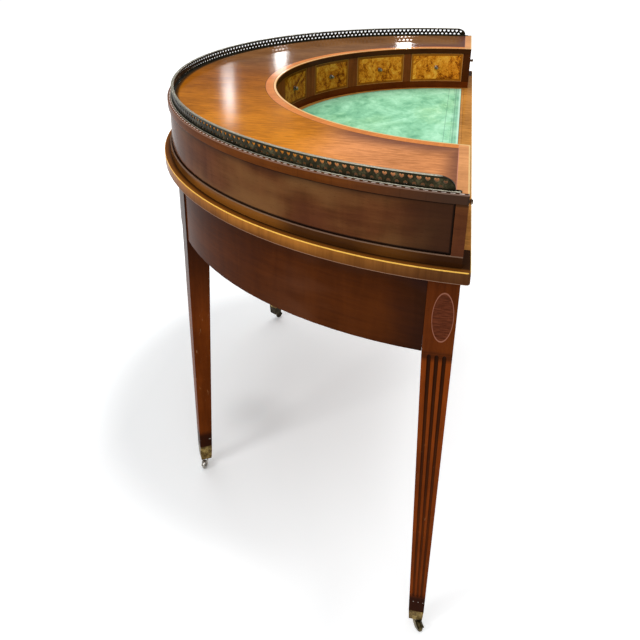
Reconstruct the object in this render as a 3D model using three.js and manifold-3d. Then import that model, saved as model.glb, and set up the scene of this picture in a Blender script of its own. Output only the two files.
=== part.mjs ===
// A writing desk of the carlton house kind: a half-round table with a low curved bank of drawers on it.
// Millimetres, +Z up. Every curve is an arc about one point, the middle of the top's straight front edge.

import * as THREE from 'three';
import { mergeVertices } from 'three/addons/utils/BufferGeometryUtils.js';
import Module from 'manifold-3d';

const wasm = await Module();
wasm.setup();

// Table top and writing leather
const topRadius = 672;
const topThickness = 20;
const writingHeight = 760;
const topCornerRadius = 6;
const topCornerSteps = 3;
const leatherFrontBorder = 23;
const leatherBackBorder = 12;
const leatherThickness = 1.2;

// Superstructure
const topBorder = 13;
const superHeight = 108;
const ringDepth = 225;
const baseBoardThickness = 17;
const topBoardThickness = 14;
const bankSetback = 3;
const outerFrameThickness = 14;
const bottomRailHeight = 16.5;
const endStileWidth = 17;
const panelRecess = 4;
const panelThickness = 3;

// Bank of drawers in the inside curve: the angles of one half, from the front to the middle
const bankAxisDegrees = [13.6, 35, 56.4, 77.5];
const bankOpeningDegrees = [18.9, 18.9, 16.6, 16.6];
const bankDrawerBackGap = 4;
const stileDepth = 20;
const guideThickness = 6;
const postWidth = 13;

// What every drawer has
const drawerFaceSetback = 1;
const drawerFrontThickness = 14;
const drawerWall = 7;
const drawerFloorThickness = 6;
const drawerSideClearance = 0.8;
const drawerTopClearance = 1;
const drawerBoxDrop = 12;
const drawerBoxInset = 1;

// Pier drawers
const pierBoxBackClearance = 1.5;

// Knobs
const knobRoseRadius = 5.6;
const knobRoseThickness = 1.3;
const knobNeckRadius = 2.4;
const knobNeckPlace = 3;
const knobHeadRadius = 4.8;
const knobReach = 10;
const knobDome = 0.6;
const knobGap = 0.1;
const knobSides = 10;
const friezeKnobReach = 9.5;

// Gallery
const galleryInset = 11;
const galleryHeight = 21;
const galleryStripWidth = 9;
const galleryStripThickness = 1.6;
const galleryBandThickness = 2;
const galleryRailWidth = 6;
const galleryRailHeight = 2.6;
const galleryStripFront = 23;
const galleryBandFront = 32;
const gallerySweepLength = 27;
const gallerySweepSteps = 6;
const heartsPerStep = 3;
const heartMargin = 1.1;
const heartWidth = 8;
const heartHeight = 7;
const heartNotch = 2;
const stripEndSides = 12;

// Frieze and legs
const topOverhang = 23;
const friezeThickness = 20;
const friezeHeight = 132.5;
const legWidth = 46;
const frontLegProud = 0.5;
const frontLegFront = 12;
const backLegProud = 2;
const backLegDegrees = 58.5;
const footWidth = 27;
const footHeight = 48;
const tenonWidth = 22;
const tenonLength = 15;

// Flutes in the front legs
const fluteCount = 3;
const fluteWidth = 6.4;
const fluteDepth = 2.2;
const fluteTopGap = 2.5;
const fluteFootGap = 36;
const fluteSides = 4;
const fluteTipShare = 0.15;
const fluteShoulderShare = 0.6;
const fluteShoulderPlaceShare = 0.125;

// Front frieze with its three drawers
const friezeSetback = 14;
const frontTopRailHeight = 14;
const frontBottomRailHeight = 18;
const frontTopRailDepth = 24;
const frontBottomRailDepth = 46;
const middleOpeningWidth = 480;
const dividerWidth = 20;
const dividerDepth = 24;
const middleDrawerDepth = 420;
const sideDrawerBackGap = 8;
const friezeKnobInset = 95;

// Frame that the frieze drawers run on
const runnerThickness = 12;
const runnerWidth = 40;
const crossBarWidth = 30;
const crossBarEndGap = 8;

// Castors
const socketBottomWidth = 24;
const socketBottom = 24;
const socketBoreRadius = 3.5;
const pinRadius = 3.2;
const pinLength = 6;
const crownRadius = 9.5;
const crownThickness = 1.8;
const cheekThickness = 1.8;
const wheelRadius = 10.5;
const wheelWidth = 8;
const wheelEdge = 2;
const wheelBoreRadius = 1.9;
const axleRadius = 1.6;
const hubRadius = 4.2;
const castorTrail = 14;
const cheekGap = 0.5;
const hornReach = 10;
const hornHeight = 14.5;
const castorSides = 12;
const cheekCurveSteps = 5;
const wheelSides = 18;
const castorDegrees = { front_left: 211, front_right: -31, back_left: 187, back_right: -34 };

// Fits and arcs
const joinGap = 0.3;
const cutOverrun = 5;
const fuse = 1;
const halfCircleSteps = 56;
const mergeTolerance = 0.0001;

// Sizes worked out from those above
const degree = Math.PI / 180;
const arcStep = Math.PI / halfCircleSteps;
const superRadius = topRadius - topBorder;
const superInnerRadius = superRadius - ringDepth;
const superFront = topBorder;
const superTop = writingHeight + superHeight;
const topBoardBottom = superTop - topBoardThickness;
const baseBoardTop = writingHeight + baseBoardThickness;
const bankRadius = superInnerRadius + bankSetback;
const frameInnerRadius = superRadius - outerFrameThickness;
const insideRadius = frameInnerRadius * Math.cos(arcStep / 2) - joinGap;
const halfBank = bankAxisDegrees.map((axisDegrees, i) => ({
  axis: axisDegrees * degree,
  half: bankRadius * Math.sin(bankOpeningDegrees[i] * degree / 2),
}));
const otherHalfBank = halfBank.map(({ axis, half }) => ({ axis: Math.PI - axis, half })).reverse();
const bankPlaces = [...halfBank, ...otherHalfBank];
const endPlace = bankPlaces[0];
const drawerBottom = baseBoardTop + joinGap;
const drawerTop = topBoardBottom - drawerTopClearance;
const knobHeight = (drawerBottom + drawerTop) / 2;
const topUnderside = writingHeight - topThickness;
const friezeRadius = topRadius - topOverhang;
const friezeBottom = topUnderside - friezeHeight;
const friezeInside = (friezeRadius - friezeThickness) * Math.cos(arcStep / 2) - joinGap;
const frontLegFace = friezeRadius + frontLegProud;
const backLegRadius = friezeRadius + backLegProud;
const fluteTop = friezeBottom - fluteTopGap;
const fluteBottom = footHeight + fluteFootGap;
const friezeDrawerBottom = friezeBottom + frontBottomRailHeight;
const friezeDrawerTop = topUnderside - frontTopRailHeight;
const crownTop = socketBottom - joinGap;
const wheelCentre = wheelRadius;

const mahogany = new THREE.MeshStandardMaterial({ color: 0x5a2d18, roughness: 0.35 });
const darkMahogany = new THREE.MeshStandardMaterial({ color: 0x3b1d12, roughness: 0.32 });
const topMahogany = new THREE.MeshStandardMaterial({ color: 0x8a4f2a, roughness: 0.3 });
const burr = new THREE.MeshStandardMaterial({ color: 0xa5652c, roughness: 0.32 });
const leather = new THREE.MeshStandardMaterial({ color: 0x4f8f7c, roughness: 0.55 });
const pine = new THREE.MeshStandardMaterial({ color: 0x8b6a45, roughness: 0.7 });
const brass = new THREE.MeshStandardMaterial({ color: 0xa8843f, roughness: 0.35, metalness: 0.9 });
const agedBrass = new THREE.MeshStandardMaterial({ color: 0x5b4a2c, roughness: 0.45, metalness: 0.8 });

const desk = new THREE.Group();

function addMesh(name, geometry, material, parent = desk) {
  const mesh = new THREE.Mesh(geometry, material);
  mesh.name = name;
  parent.add(mesh);
  return mesh;
}

function turnedGroup(x, y, angle) {
  const group = new THREE.Group();
  group.position.set(x, y, 0);
  group.rotation.z = angle;
  desk.add(group);
  return group;
}

function toSolid(geometry) {
  const bare = geometry.clone();
  bare.deleteAttribute('normal');
  bare.deleteAttribute('uv');
  const merged = mergeVertices(bare, mergeTolerance);
  const vertProperties = new Float32Array(merged.attributes.position.array);
  const triVerts = new Uint32Array(merged.index.array);
  return new wasm.Manifold(new wasm.Mesh({ numProp: 3, vertProperties, triVerts }));
}

function toGeometry(solid) {
  const mesh = solid.getMesh();
  const geometry = new THREE.BufferGeometry();
  geometry.setAttribute('position', new THREE.BufferAttribute(new Float32Array(mesh.vertProperties), 3));
  geometry.setIndex(new THREE.BufferAttribute(new Uint32Array(mesh.triVerts), 1));
  return geometry;
}

function point(x, y) {
  return new THREE.Vector2(x, y);
}

function polar(radius, angle) {
  return point(radius * Math.cos(angle), radius * Math.sin(angle));
}

// The points of an arc about the common centre, a step of a few degrees apart.
function arcPoints(radius, start, end) {
  const steps = Math.max(1, Math.round(Math.abs(end - start) / arcStep));
  const points = [];
  for (let i = 0; i <= steps; i += 1) {
    points.push(polar(radius, start + (end - start) * i / steps));
  }
  return points;
}

// A half ring whose two ends are cut off straight at the given distance behind the front edge.
function ringPoints(innerRadius, outerRadius, front) {
  const outerStart = Math.asin(front / outerRadius);
  const innerStart = Math.asin(front / innerRadius);
  return [
    ...arcPoints(outerRadius, outerStart, Math.PI - outerStart),
    ...arcPoints(innerRadius, Math.PI - innerStart, innerStart),
  ];
}

function rectangle(left, right, front, back) {
  return [point(left, front), point(right, front), point(right, back), point(left, back)];
}

function mirrored(points, side) {
  return points.map((p) => point(side * p.x, p.y));
}

function slab(points, bottom, top) {
  const options = { depth: top - bottom, bevelEnabled: false };
  const geometry = new THREE.ExtrudeGeometry(new THREE.Shape(points), options);
  geometry.translate(0, 0, bottom);
  return geometry;
}

// A closed body through level rings of the same number of points, lowest first.
function loft(rings) {
  const count = rings[0].length;
  const positions = rings.flat().flatMap((p) => [p.x, p.y, p.z]);
  const index = [];
  for (let level = 0; level < rings.length - 1; level += 1) {
    for (let i = 0; i < count; i += 1) {
      const next = (i + 1) % count;
      const lower = level * count;
      const upper = lower + count;
      index.push(lower + i, lower + next, upper + next, lower + i, upper + next, upper + i);
    }
  }
  const last = (rings.length - 1) * count;
  for (let i = 1; i < count - 1; i += 1) {
    index.push(0, i + 1, i, last, last + i, last + i + 1);
  }
  const geometry = new THREE.BufferGeometry();
  geometry.setAttribute('position', new THREE.BufferAttribute(new Float32Array(positions), 3));
  geometry.setIndex(index);
  return geometry;
}

function levelRing(points, z) {
  return points.map((p) => new THREE.Vector3(p.x, p.y, z));
}

function cylinder(radius, length, sides) {
  return new THREE.CylinderGeometry(radius, radius, length, sides);
}

// Table top: a half disc with its front corners rounded, sunk for the leather.
function leatherPoints(clearance) {
  const radius = bankRadius - leatherBackBorder + clearance;
  const front = leatherFrontBorder - clearance;
  const start = Math.asin(front / radius);
  return arcPoints(radius, start, Math.PI - start);
}

function topPoints() {
  const start = Math.asin(topCornerRadius / topRadius);
  const corner = [];
  for (let i = 0; i < topCornerSteps; i += 1) {
    const angle = (i / topCornerSteps - 1) * Math.PI / 2;
    const x = topRadius - topCornerRadius * (1 - Math.cos(angle));
    corner.push(point(x, topCornerRadius * (1 + Math.sin(angle))));
  }
  const other = corner.slice().reverse();
  return [...corner, ...arcPoints(topRadius, start, Math.PI - start), ...mirrored(other, -1)];
}

function buildTableTop() {
  const board = toSolid(slab(topPoints(), topUnderside, writingHeight));
  const recessFloor = writingHeight - leatherThickness;
  const recess = toSolid(slab(leatherPoints(joinGap), recessFloor, writingHeight + cutOverrun));
  addMesh('table_top', toGeometry(board.subtract(recess)), topMahogany);
  addMesh('writing_leather', slab(leatherPoints(0), recessFloor, writingHeight), leather);
}

// Superstructure: base board, top board, and the curved outer frame with its sunk panel.
function buildSuperstructure() {
  const baseOuter = frameInnerRadius - joinGap;
  const base = ringPoints(bankRadius, baseOuter, superFront);
  addMesh('superstructure_base', slab(base, writingHeight, baseBoardTop), mahogany);
  const top = ringPoints(superInnerRadius, superRadius, superFront);
  addMesh('superstructure_top', slab(top, topBoardBottom, superTop), topMahogany);

  const recessBottom = writingHeight + bottomRailHeight;
  const panelFront = superFront + endStileWidth;
  const panelOuter = superRadius - panelRecess;
  const panelInner = panelOuter - panelThickness;
  const wallRing = ringPoints(frameInnerRadius, superRadius, superFront);
  const recessRing = ringPoints(panelInner - joinGap, superRadius + cutOverrun, panelFront);
  const panelRing = ringPoints(panelInner, panelOuter, panelFront + joinGap);
  const wall = toSolid(slab(wallRing, writingHeight, topBoardBottom));
  const recess = toSolid(slab(recessRing, recessBottom, topBoardBottom + cutOverrun));
  addMesh('outer_frame', toGeometry(wall.subtract(recess)), darkMahogany);
  addMesh('outer_panel', slab(panelRing, recessBottom + joinGap, topBoardBottom), darkMahogany);
}

// A line beside a drawer, parallel to the way that it slides. The drawer's own axis is at the given angle
// and the line lies the given distance to its clockwise side.
function sideLineAtRadius(axis, offset, radius) {
  const along = Math.sqrt(radius * radius - offset * offset);
  const cos = Math.cos(axis);
  const sin = Math.sin(axis);
  return point(along * cos + offset * sin, along * sin - offset * cos);
}

function sideLineAtX(axis, offset, x) {
  return point(x, (x * Math.sin(axis) - offset) / Math.cos(axis));
}

function sideLineAtY(axis, offset, y) {
  return point((y * Math.cos(axis) + offset) / Math.sin(axis), y);
}

function angleOf(p) {
  return Math.atan2(p.y, p.x);
}

// A divider between two bank drawers: the stile that shows, and a guide behind it along each drawer's side.
function dividerPoints(lower, upper) {
  const lowerGuide = -lower.half - guideThickness;
  const upperGuide = upper.half + guideThickness;
  const guideRadius = bankRadius + stileDepth;
  return [
    ...arcPoints(bankRadius, angleOf(sideLineAtRadius(lower.axis, -lower.half, bankRadius)),
      angleOf(sideLineAtRadius(upper.axis, upper.half, bankRadius))),
    sideLineAtRadius(upper.axis, upper.half, insideRadius),
    sideLineAtRadius(upper.axis, upperGuide, insideRadius),
    sideLineAtRadius(upper.axis, upperGuide, guideRadius),
    sideLineAtRadius(lower.axis, lowerGuide, guideRadius),
    sideLineAtRadius(lower.axis, lowerGuide, insideRadius),
    sideLineAtRadius(lower.axis, -lower.half, insideRadius),
  ];
}

function buildDividers() {
  for (let i = 1; i < bankPlaces.length; i += 1) {
    const points = dividerPoints(bankPlaces[i - 1], bankPlaces[i]);
    addMesh(`bank_divider_${i}`, slab(points, baseBoardTop, topBoardBottom), mahogany);
  }
}

// The end divider is the pier's inner corner post, with a guide behind it along the first drawer's side.
const endGuideOffset = endPlace.half + guideThickness;
const postRight = bankRadius + postWidth;

function endDividerPoints() {
  const { axis, half } = endPlace;
  const face = sideLineAtRadius(axis, half, bankRadius);
  const front = Math.asin(superFront / bankRadius);
  return [
    point(postRight, superFront),
    sideLineAtX(axis, endGuideOffset, postRight),
    sideLineAtRadius(axis, endGuideOffset, insideRadius),
    sideLineAtRadius(axis, half, insideRadius),
    ...arcPoints(bankRadius, angleOf(face), front),
  ];
}

function buildEndDividers() {
  for (const [name, side] of [['left', -1], ['right', 1]]) {
    const points = mirrored(endDividerPoints(), side);
    addMesh(`end_divider_${name}`, slab(points, baseBoardTop, topBoardBottom), mahogany);
  }
}

// A drawer: its front, and behind it a box that is open at the top.
function drawerSolid(front, box, pocket, bottom, top) {
  const boxTop = top - drawerBoxDrop;
  const frontSolid = toSolid(slab(front, bottom, top));
  const boxSolid = toSolid(slab(box, bottom, boxTop));
  const pocketSolid = toSolid(slab(pocket, bottom + drawerFloorThickness, boxTop + cutOverrun));
  return frontSolid.add(boxSolid.subtract(pocketSolid));
}

// A knob turned about its axis, with its back on the level plane and its head up.
function knobGeometry(reach) {
  const headCentre = reach - knobHeadRadius * Math.SQRT1_2;
  const profile = [
    point(0, 0),
    point(knobRoseRadius, 0),
    point(knobRoseRadius, knobRoseThickness),
    point(knobNeckRadius, knobNeckPlace),
    point(knobHeadRadius, headCentre),
    point(knobHeadRadius * Math.SQRT1_2, reach - knobDome),
    point(0, reach),
  ];
  return new THREE.LatheGeometry(profile, knobSides);
}

const drawerFaceRadius = bankRadius + drawerFaceSetback;

function bankDrawerGeometry(openingHalf) {
  const half = openingHalf - drawerSideClearance;
  const frontBack = drawerFaceRadius + drawerFrontThickness;
  const faceAngle = Math.asin(half / drawerFaceRadius);
  const boxHalf = half - drawerBoxInset;
  const boxBack = Math.sqrt(insideRadius * insideRadius - boxHalf * boxHalf) - bankDrawerBackGap;
  const pocketHalf = boxHalf - drawerWall;
  const face = arcPoints(drawerFaceRadius, -faceAngle, faceAngle);
  const box = rectangle(frontBack - fuse, boxBack, -boxHalf, boxHalf);
  const pocket = rectangle(frontBack, boxBack - drawerWall, -pocketHalf, pocketHalf);
  const front = [...face, point(frontBack, half), point(frontBack, -half)];
  return toGeometry(drawerSolid(front, box, pocket, drawerBottom, drawerTop));
}

function buildBankDrawers() {
  const knob = knobGeometry(knobReach);
  knob.rotateZ(Math.PI / 2);
  for (const [i, { axis, half }] of bankPlaces.entries()) {
    const group = turnedGroup(0, 0, axis);
    addMesh(`bank_drawer_${i + 1}`, bankDrawerGeometry(half), burr, group);
    const mesh = addMesh(`bank_knob_${i + 1}`, knob, brass, group);
    mesh.position.set(drawerFaceRadius - joinGap, 0, knobHeight);
  }
}

// The pier drawers are wedges in plan, because the end drawers of the bank run behind them.
function buildPierDrawers() {
  const { axis } = endPlace;
  const right = insideRadius - drawerSideClearance;
  const back = superFront + drawerFrontThickness;
  const boxOffset = endGuideOffset + pierBoxBackClearance;
  const left = Math.max(postRight + drawerSideClearance, sideLineAtY(axis, boxOffset, back).x);
  const pocketOffset = boxOffset + drawerWall;
  const boxLeft = left + drawerBoxInset;
  const boxRight = Math.sqrt(right * right - Math.pow(sideLineAtX(axis, boxOffset, right).y, 2));
  const pocketRight = boxRight - drawerWall;
  const front = rectangle(left, right - drawerBoxInset, superFront, back);
  const box = [
    point(boxLeft, back - fuse),
    point(boxRight, back - fuse),
    sideLineAtX(axis, boxOffset, boxRight),
    sideLineAtX(axis, boxOffset, boxLeft),
  ];
  const pocket = [
    sideLineAtY(axis, pocketOffset, back),
    point(pocketRight, back),
    sideLineAtX(axis, pocketOffset, pocketRight),
  ];
  const knob = knobGeometry(knobReach);
  knob.rotateX(Math.PI);
  for (const [name, side] of [['left', -1], ['right', 1]]) {
    const outlines = [front, box, pocket].map((points) => mirrored(points, side));
    const drawer = drawerSolid(...outlines, drawerBottom, drawerTop);
    addMesh(`pier_drawer_${name}`, toGeometry(drawer), burr);
    const mesh = addMesh(`pier_knob_${name}`, knob, brass);
    mesh.position.set(side * (superRadius + superInnerRadius) / 2, superFront - knobGap, knobHeight);
  }
}

// Gallery: a base strip, a band pierced with a row of hearts, and a rail along the top. At both ends
// the band and its rail sweep down to the strip, which runs on to a round end.
const galleryRadius = superRadius - galleryInset;
const galleryTop = superTop + galleryHeight;
const bandBottom = superTop + galleryStripThickness;
const bandFront = galleryBandFront + gallerySweepLength;

function galleryRing(width, front, bottom, top) {
  return toSolid(slab(ringPoints(galleryRadius - width / 2, galleryRadius + width / 2, front), bottom, top));
}

// An outline drawn in places along the band and in heights, pushed through the given width, which stands
// square to the ring at the given angle.
function uprightPlate(points, width, angle) {
  const along = new THREE.Vector3(0, 1, 0);
  const up = new THREE.Vector3(0, 0, 1);
  const outward = new THREE.Vector3(1, 0, 0);
  const geometry = new THREE.ExtrudeGeometry(new THREE.Shape(points), { depth: width, bevelEnabled: false });
  geometry.applyMatrix4(new THREE.Matrix4().makeBasis(along, up, outward));
  geometry.translate(galleryRadius - width / 2, 0, 0);
  geometry.rotateZ(angle);
  return toSolid(geometry);
}

function heartPoints() {
  const top = galleryTop - galleryRailHeight - heartMargin;
  return [
    point(-heartWidth / 2, top),
    point(0, top - heartNotch),
    point(heartWidth / 2, top),
    point(0, top - heartHeight),
  ];
}

// Hearts stand in a row under the rail.
function galleryOpenings() {
  const start = Math.asin(bandFront / galleryRadius);
  const span = Math.PI - 2 * start;
  const count = Math.round(span / arcStep) * heartsPerStep;
  const cutWidth = galleryBandThickness + 2 * cutOverrun;
  const cutters = [];
  for (let i = 0; i < count; i += 1) {
    cutters.push(uprightPlate(heartPoints(), cutWidth, start + span * (i + 1 / 2) / count));
  }
  return wasm.Manifold.union(cutters);
}

// A quarter of an ellipse from the strip up to the rail's level, the given depth inside the outer curve.
function sweepPoints(depth) {
  const points = [];
  for (let i = 0; i <= gallerySweepSteps; i += 1) {
    const angle = i / gallerySweepSteps * Math.PI / 2;
    const along = gallerySweepLength / 2 - (gallerySweepLength - depth) * Math.cos(angle);
    points.push(point(along, bandBottom + (galleryTop - bandBottom - depth) * Math.sin(angle)));
  }
  return points;
}

function sweptEnd() {
  const angle = Math.asin((galleryBandFront + gallerySweepLength / 2) / galleryRadius);
  const front = -gallerySweepLength / 2;
  const back = gallerySweepLength / 2 + fuse;
  const low = bandBottom - fuse;
  const outer = [point(front, low), ...sweepPoints(0), point(back, galleryTop)];
  const inner = [point(back, galleryTop - galleryRailHeight), ...sweepPoints(galleryRailHeight).reverse(),
    point(front + galleryRailHeight, low)];
  const band = uprightPlate([...outer, point(back, low)], galleryBandThickness, angle);
  return band.add(uprightPlate([...outer, ...inner], galleryRailWidth, angle));
}

function stripEnd() {
  const radius = galleryStripWidth / 2;
  const disc = cylinder(radius, galleryStripThickness, stripEndSides);
  disc.rotateX(Math.PI / 2);
  const front = galleryStripFront + radius;
  const side = Math.sqrt(galleryRadius * galleryRadius - front * front);
  disc.translate(side, front, superTop + galleryStripThickness / 2);
  return toSolid(disc);
}

function buildGallery() {
  const stripFront = galleryStripFront + galleryStripWidth / 2;
  const strip = galleryRing(galleryStripWidth, stripFront, superTop, bandBottom);
  const band = galleryRing(galleryBandThickness, bandFront, bandBottom - fuse, galleryTop - fuse);
  const rail = galleryRing(galleryRailWidth, bandFront, galleryTop - galleryRailHeight, galleryTop);
  const end = sweptEnd().add(stripEnd());
  const pierced = band.subtract(galleryOpenings());
  addMesh('gallery', toGeometry(pierced.add(rail).add(strip).add(end).add(end.mirror([1, 0, 0]))), agedBrass);
}

// Curved frieze: three bent rails between the legs.
function railPoints(startAxis, startOffset, endAxis, endOffset) {
  const inner = friezeRadius - friezeThickness;
  const startAt = (radius) => startAxis + Math.asin(startOffset / radius);
  const endAt = (radius) => endAxis + Math.asin(endOffset / radius);
  return [
    ...arcPoints(friezeRadius, startAt(friezeRadius), endAt(friezeRadius)),
    ...arcPoints(inner, endAt(inner), startAt(inner)),
  ];
}

function buildFrieze() {
  const legSide = legWidth / 2 + joinGap;
  const frontOffset = frontLegFront + legWidth + joinGap;
  const backAxis = backLegDegrees * degree;
  const side = railPoints(0, frontOffset, backAxis, -legSide);
  const back = railPoints(backAxis, legSide, Math.PI - backAxis, -legSide);
  addMesh('frieze_left', slab(mirrored(side, -1), friezeBottom, topUnderside), darkMahogany);
  addMesh('frieze_right', slab(side, friezeBottom, topUnderside), darkMahogany);
  addMesh('frieze_back', slab(back, friezeBottom, topUnderside), darkMahogany);
}

// Legs taper below the frieze on their inner faces, and end in a tenon in the castor's socket.
function frontLegRing(width, step, side) {
  const outer = frontLegFace - step;
  const front = frontLegFront + step;
  return mirrored(rectangle(outer - width, outer, front, front + width), side);
}

function legRings(ringAt) {
  const step = (footWidth - tenonWidth) / 2;
  return [
    levelRing(ringAt(tenonWidth, step), footHeight - tenonLength),
    levelRing(ringAt(tenonWidth, step), footHeight),
    levelRing(ringAt(footWidth, 0), footHeight),
    levelRing(ringAt(legWidth, 0), friezeBottom),
    levelRing(ringAt(legWidth, 0), topUnderside),
  ];
}

// A flute is cut by a tapering round bar that lies in the leg's face, along the taper of the leg.
function fluteCutter(index) {
  const share = (index + 1) / (fluteCount + 1);
  const taper = (legWidth - footWidth) / (friezeBottom - footHeight);
  const widthAt = (z) => footWidth + taper * (z - footHeight);
  const levels = [
    [fluteBottom, fluteTipShare],
    [fluteBottom + fluteWidth / 2, 1],
    [fluteTop - fluteWidth / 2, 1],
    [fluteTop - fluteWidth * fluteShoulderPlaceShare, fluteShoulderShare],
    [fluteTop, fluteTipShare],
  ];
  const rings = levels.map(([z, size]) => {
    const width = widthAt(z);
    const scale = size * width / legWidth;
    const points = [];
    for (let i = 0; i < fluteSides * 2; i += 1) {
      const angle = i * Math.PI / fluteSides;
      const across = width * share + scale * fluteWidth / 2 * Math.cos(angle);
      points.push(point(across, scale * fluteDepth * Math.sin(angle)));
    }
    return levelRing(points, z);
  });
  return toSolid(loft(rings));
}

function buildFrontLegs() {
  const cutters = [];
  for (let i = 0; i < fluteCount; i += 1) {
    const onFront = fluteCutter(i);
    cutters.push(onFront.mirror([1, 0, 0]).translate([frontLegFace, frontLegFront, 0]));
    cutters.push(onFront.rotate([0, 0, 90]).translate([frontLegFace, frontLegFront, 0]));
  }
  let leg = toSolid(loft(legRings((width, step) => frontLegRing(width, step, 1))));
  for (const cutter of cutters) {
    leg = leg.subtract(cutter);
  }
  addMesh('front_leg_right', toGeometry(leg), mahogany);
  addMesh('front_leg_left', toGeometry(leg.mirror([1, 0, 0])), mahogany);
}

function buildBackLegs() {
  const ringAt = (width, step) => {
    const outer = backLegRadius - step;
    return rectangle(outer - width, outer, -width / 2, width / 2);
  };
  const leg = loft(legRings(ringAt));
  const axis = backLegDegrees * degree;
  addMesh('back_leg_right', leg, mahogany, turnedGroup(0, 0, axis));
  addMesh('back_leg_left', leg, mahogany, turnedGroup(0, 0, Math.PI - axis));
}

// Front frieze: one framed front between the legs, with three openings.
const frontHalf = frontLegFace - legWidth - joinGap;
const sideDrawerBack = Math.sqrt(friezeInside * friezeInside - frontHalf * frontHalf) - sideDrawerBackGap;
const sideOpeningLeft = middleOpeningWidth / 2 + dividerWidth;

function buildFrontFrame() {
  const across = (depth) => rectangle(-frontHalf, frontHalf, friezeSetback, friezeSetback + depth);
  const frame = toSolid(slab(across(frontBottomRailDepth), friezeBottom, friezeDrawerBottom - joinGap));
  const topRail = toSolid(slab(across(frontTopRailDepth), friezeDrawerTop, topUnderside));
  const dividerBack = friezeSetback + dividerDepth;
  const divider = rectangle(middleOpeningWidth / 2, sideOpeningLeft, friezeSetback, dividerBack);
  const upright = (side) => {
    return toSolid(slab(mirrored(divider, side), friezeDrawerBottom - fuse, friezeDrawerTop + fuse));
  };
  addMesh('front_frame', toGeometry(frame.add(topRail).add(upright(1)).add(upright(-1))), mahogany);
}

function friezeDrawer(left, right, back, knobPlaces) {
  const faceBack = friezeSetback + drawerFrontThickness;
  const inset = drawerBoxInset + drawerWall;
  const front = rectangle(left, right, friezeSetback, faceBack);
  const box = rectangle(left + drawerBoxInset, right - drawerBoxInset, faceBack - fuse, back);
  const pocket = rectangle(left + inset, right - inset, faceBack, back - drawerWall);
  const top = friezeDrawerTop - drawerTopClearance;
  let drawer = drawerSolid(front, box, pocket, friezeDrawerBottom, top);
  const knob = knobGeometry(friezeKnobReach + fuse);
  knob.rotateX(Math.PI);
  for (const x of knobPlaces) {
    const placed = knob.clone().translate(x, friezeSetback + fuse, (friezeDrawerBottom + top) / 2);
    drawer = drawer.add(toSolid(placed));
  }
  return toGeometry(drawer);
}

function buildFriezeDrawers() {
  const middleHalf = middleOpeningWidth / 2 - drawerSideClearance;
  const middleKnob = middleOpeningWidth / 2 - friezeKnobInset;
  const middleDrawerBack = friezeSetback + middleDrawerDepth;
  const sideLeft = sideOpeningLeft + drawerSideClearance;
  const sideRight = frontHalf - drawerSideClearance;
  const sideKnobs = [sideLeft + friezeKnobInset, sideRight - friezeKnobInset];
  const leftKnobs = sideKnobs.map((x) => -x);
  const middle = friezeDrawer(-middleHalf, middleHalf, middleDrawerBack, [-middleKnob, middleKnob]);
  addMesh('frieze_drawer_middle', middle, burr);
  addMesh('frieze_drawer_right', friezeDrawer(sideLeft, sideRight, sideDrawerBack, sideKnobs), burr);
  addMesh('frieze_drawer_left', friezeDrawer(-sideRight, -sideLeft, sideDrawerBack, leftKnobs), burr);
}

// Runner frame: a cross bar with runners forward to the bottom rail and back to the curved frieze.
function buildRunnerFrame() {
  const front = friezeSetback + frontBottomRailDepth + joinGap;
  const crossFront = sideDrawerBack + joinGap;
  const crossBarBack = crossFront + crossBarWidth;
  const runnerMiddle = middleOpeningWidth / 2 + dividerWidth / 2;
  const inner = runnerMiddle - runnerWidth / 2;
  const outer = runnerMiddle + runnerWidth / 2;
  const end = Math.sqrt(friezeInside * friezeInside - crossBarBack * crossBarBack) - crossBarEndGap;
  const back = Math.sqrt(friezeInside * friezeInside - outer * outer);
  const half = [
    point(inner, crossFront), point(inner, front), point(outer, front), point(outer, crossFront),
    point(end - runnerWidth, crossFront), point(end - runnerWidth, front),
    point(end, front), point(end, crossBarBack),
    point(outer, crossBarBack), point(outer, back), point(inner, back), point(inner, crossBarBack),
  ];
  const otherHalf = mirrored(half, -1).reverse();
  const top = friezeDrawerBottom - joinGap;
  addMesh('runner_frame', slab([...half, ...otherHalf], top - runnerThickness, top), pine);
}

// Castors: a square brass socket on the foot, a horned fork that swivels in it, and a wheel.
function squareRing(width, z) {
  return levelRing(rectangle(-width / 2, width / 2, -width / 2, width / 2), z);
}

function socketGeometry() {
  const top = footHeight - joinGap;
  const pocketWidth = tenonWidth + 2 * joinGap;
  const pocketFloor = footHeight - tenonLength - joinGap;
  const cup = toSolid(loft([squareRing(socketBottomWidth, socketBottom), squareRing(footWidth, top)]));
  const pocketRings = [squareRing(pocketWidth, pocketFloor), squareRing(pocketWidth, top + cutOverrun)];
  const pocket = toSolid(loft(pocketRings));
  const bore = cylinder(socketBoreRadius, pocketFloor - socketBottom + 2 * cutOverrun, castorSides);
  bore.rotateX(Math.PI / 2);
  bore.translate(0, 0, (pocketFloor + socketBottom) / 2);
  return toGeometry(cup.subtract(pocket).subtract(toSolid(bore)));
}

function cheekShape() {
  const shape = new THREE.Shape();
  shape.moveTo(-crownRadius / 2, crownTop);
  shape.quadraticCurveTo(0, wheelCentre, castorTrail - hubRadius / 2, wheelCentre - hubRadius);
  const hornTip = castorTrail + hornReach;
  shape.quadraticCurveTo(castorTrail + hubRadius, wheelCentre - hubRadius, hornTip, hornHeight);
  shape.quadraticCurveTo(castorTrail, wheelCentre + hubRadius, crownRadius / 2, crownTop);
  return shape;
}

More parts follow.
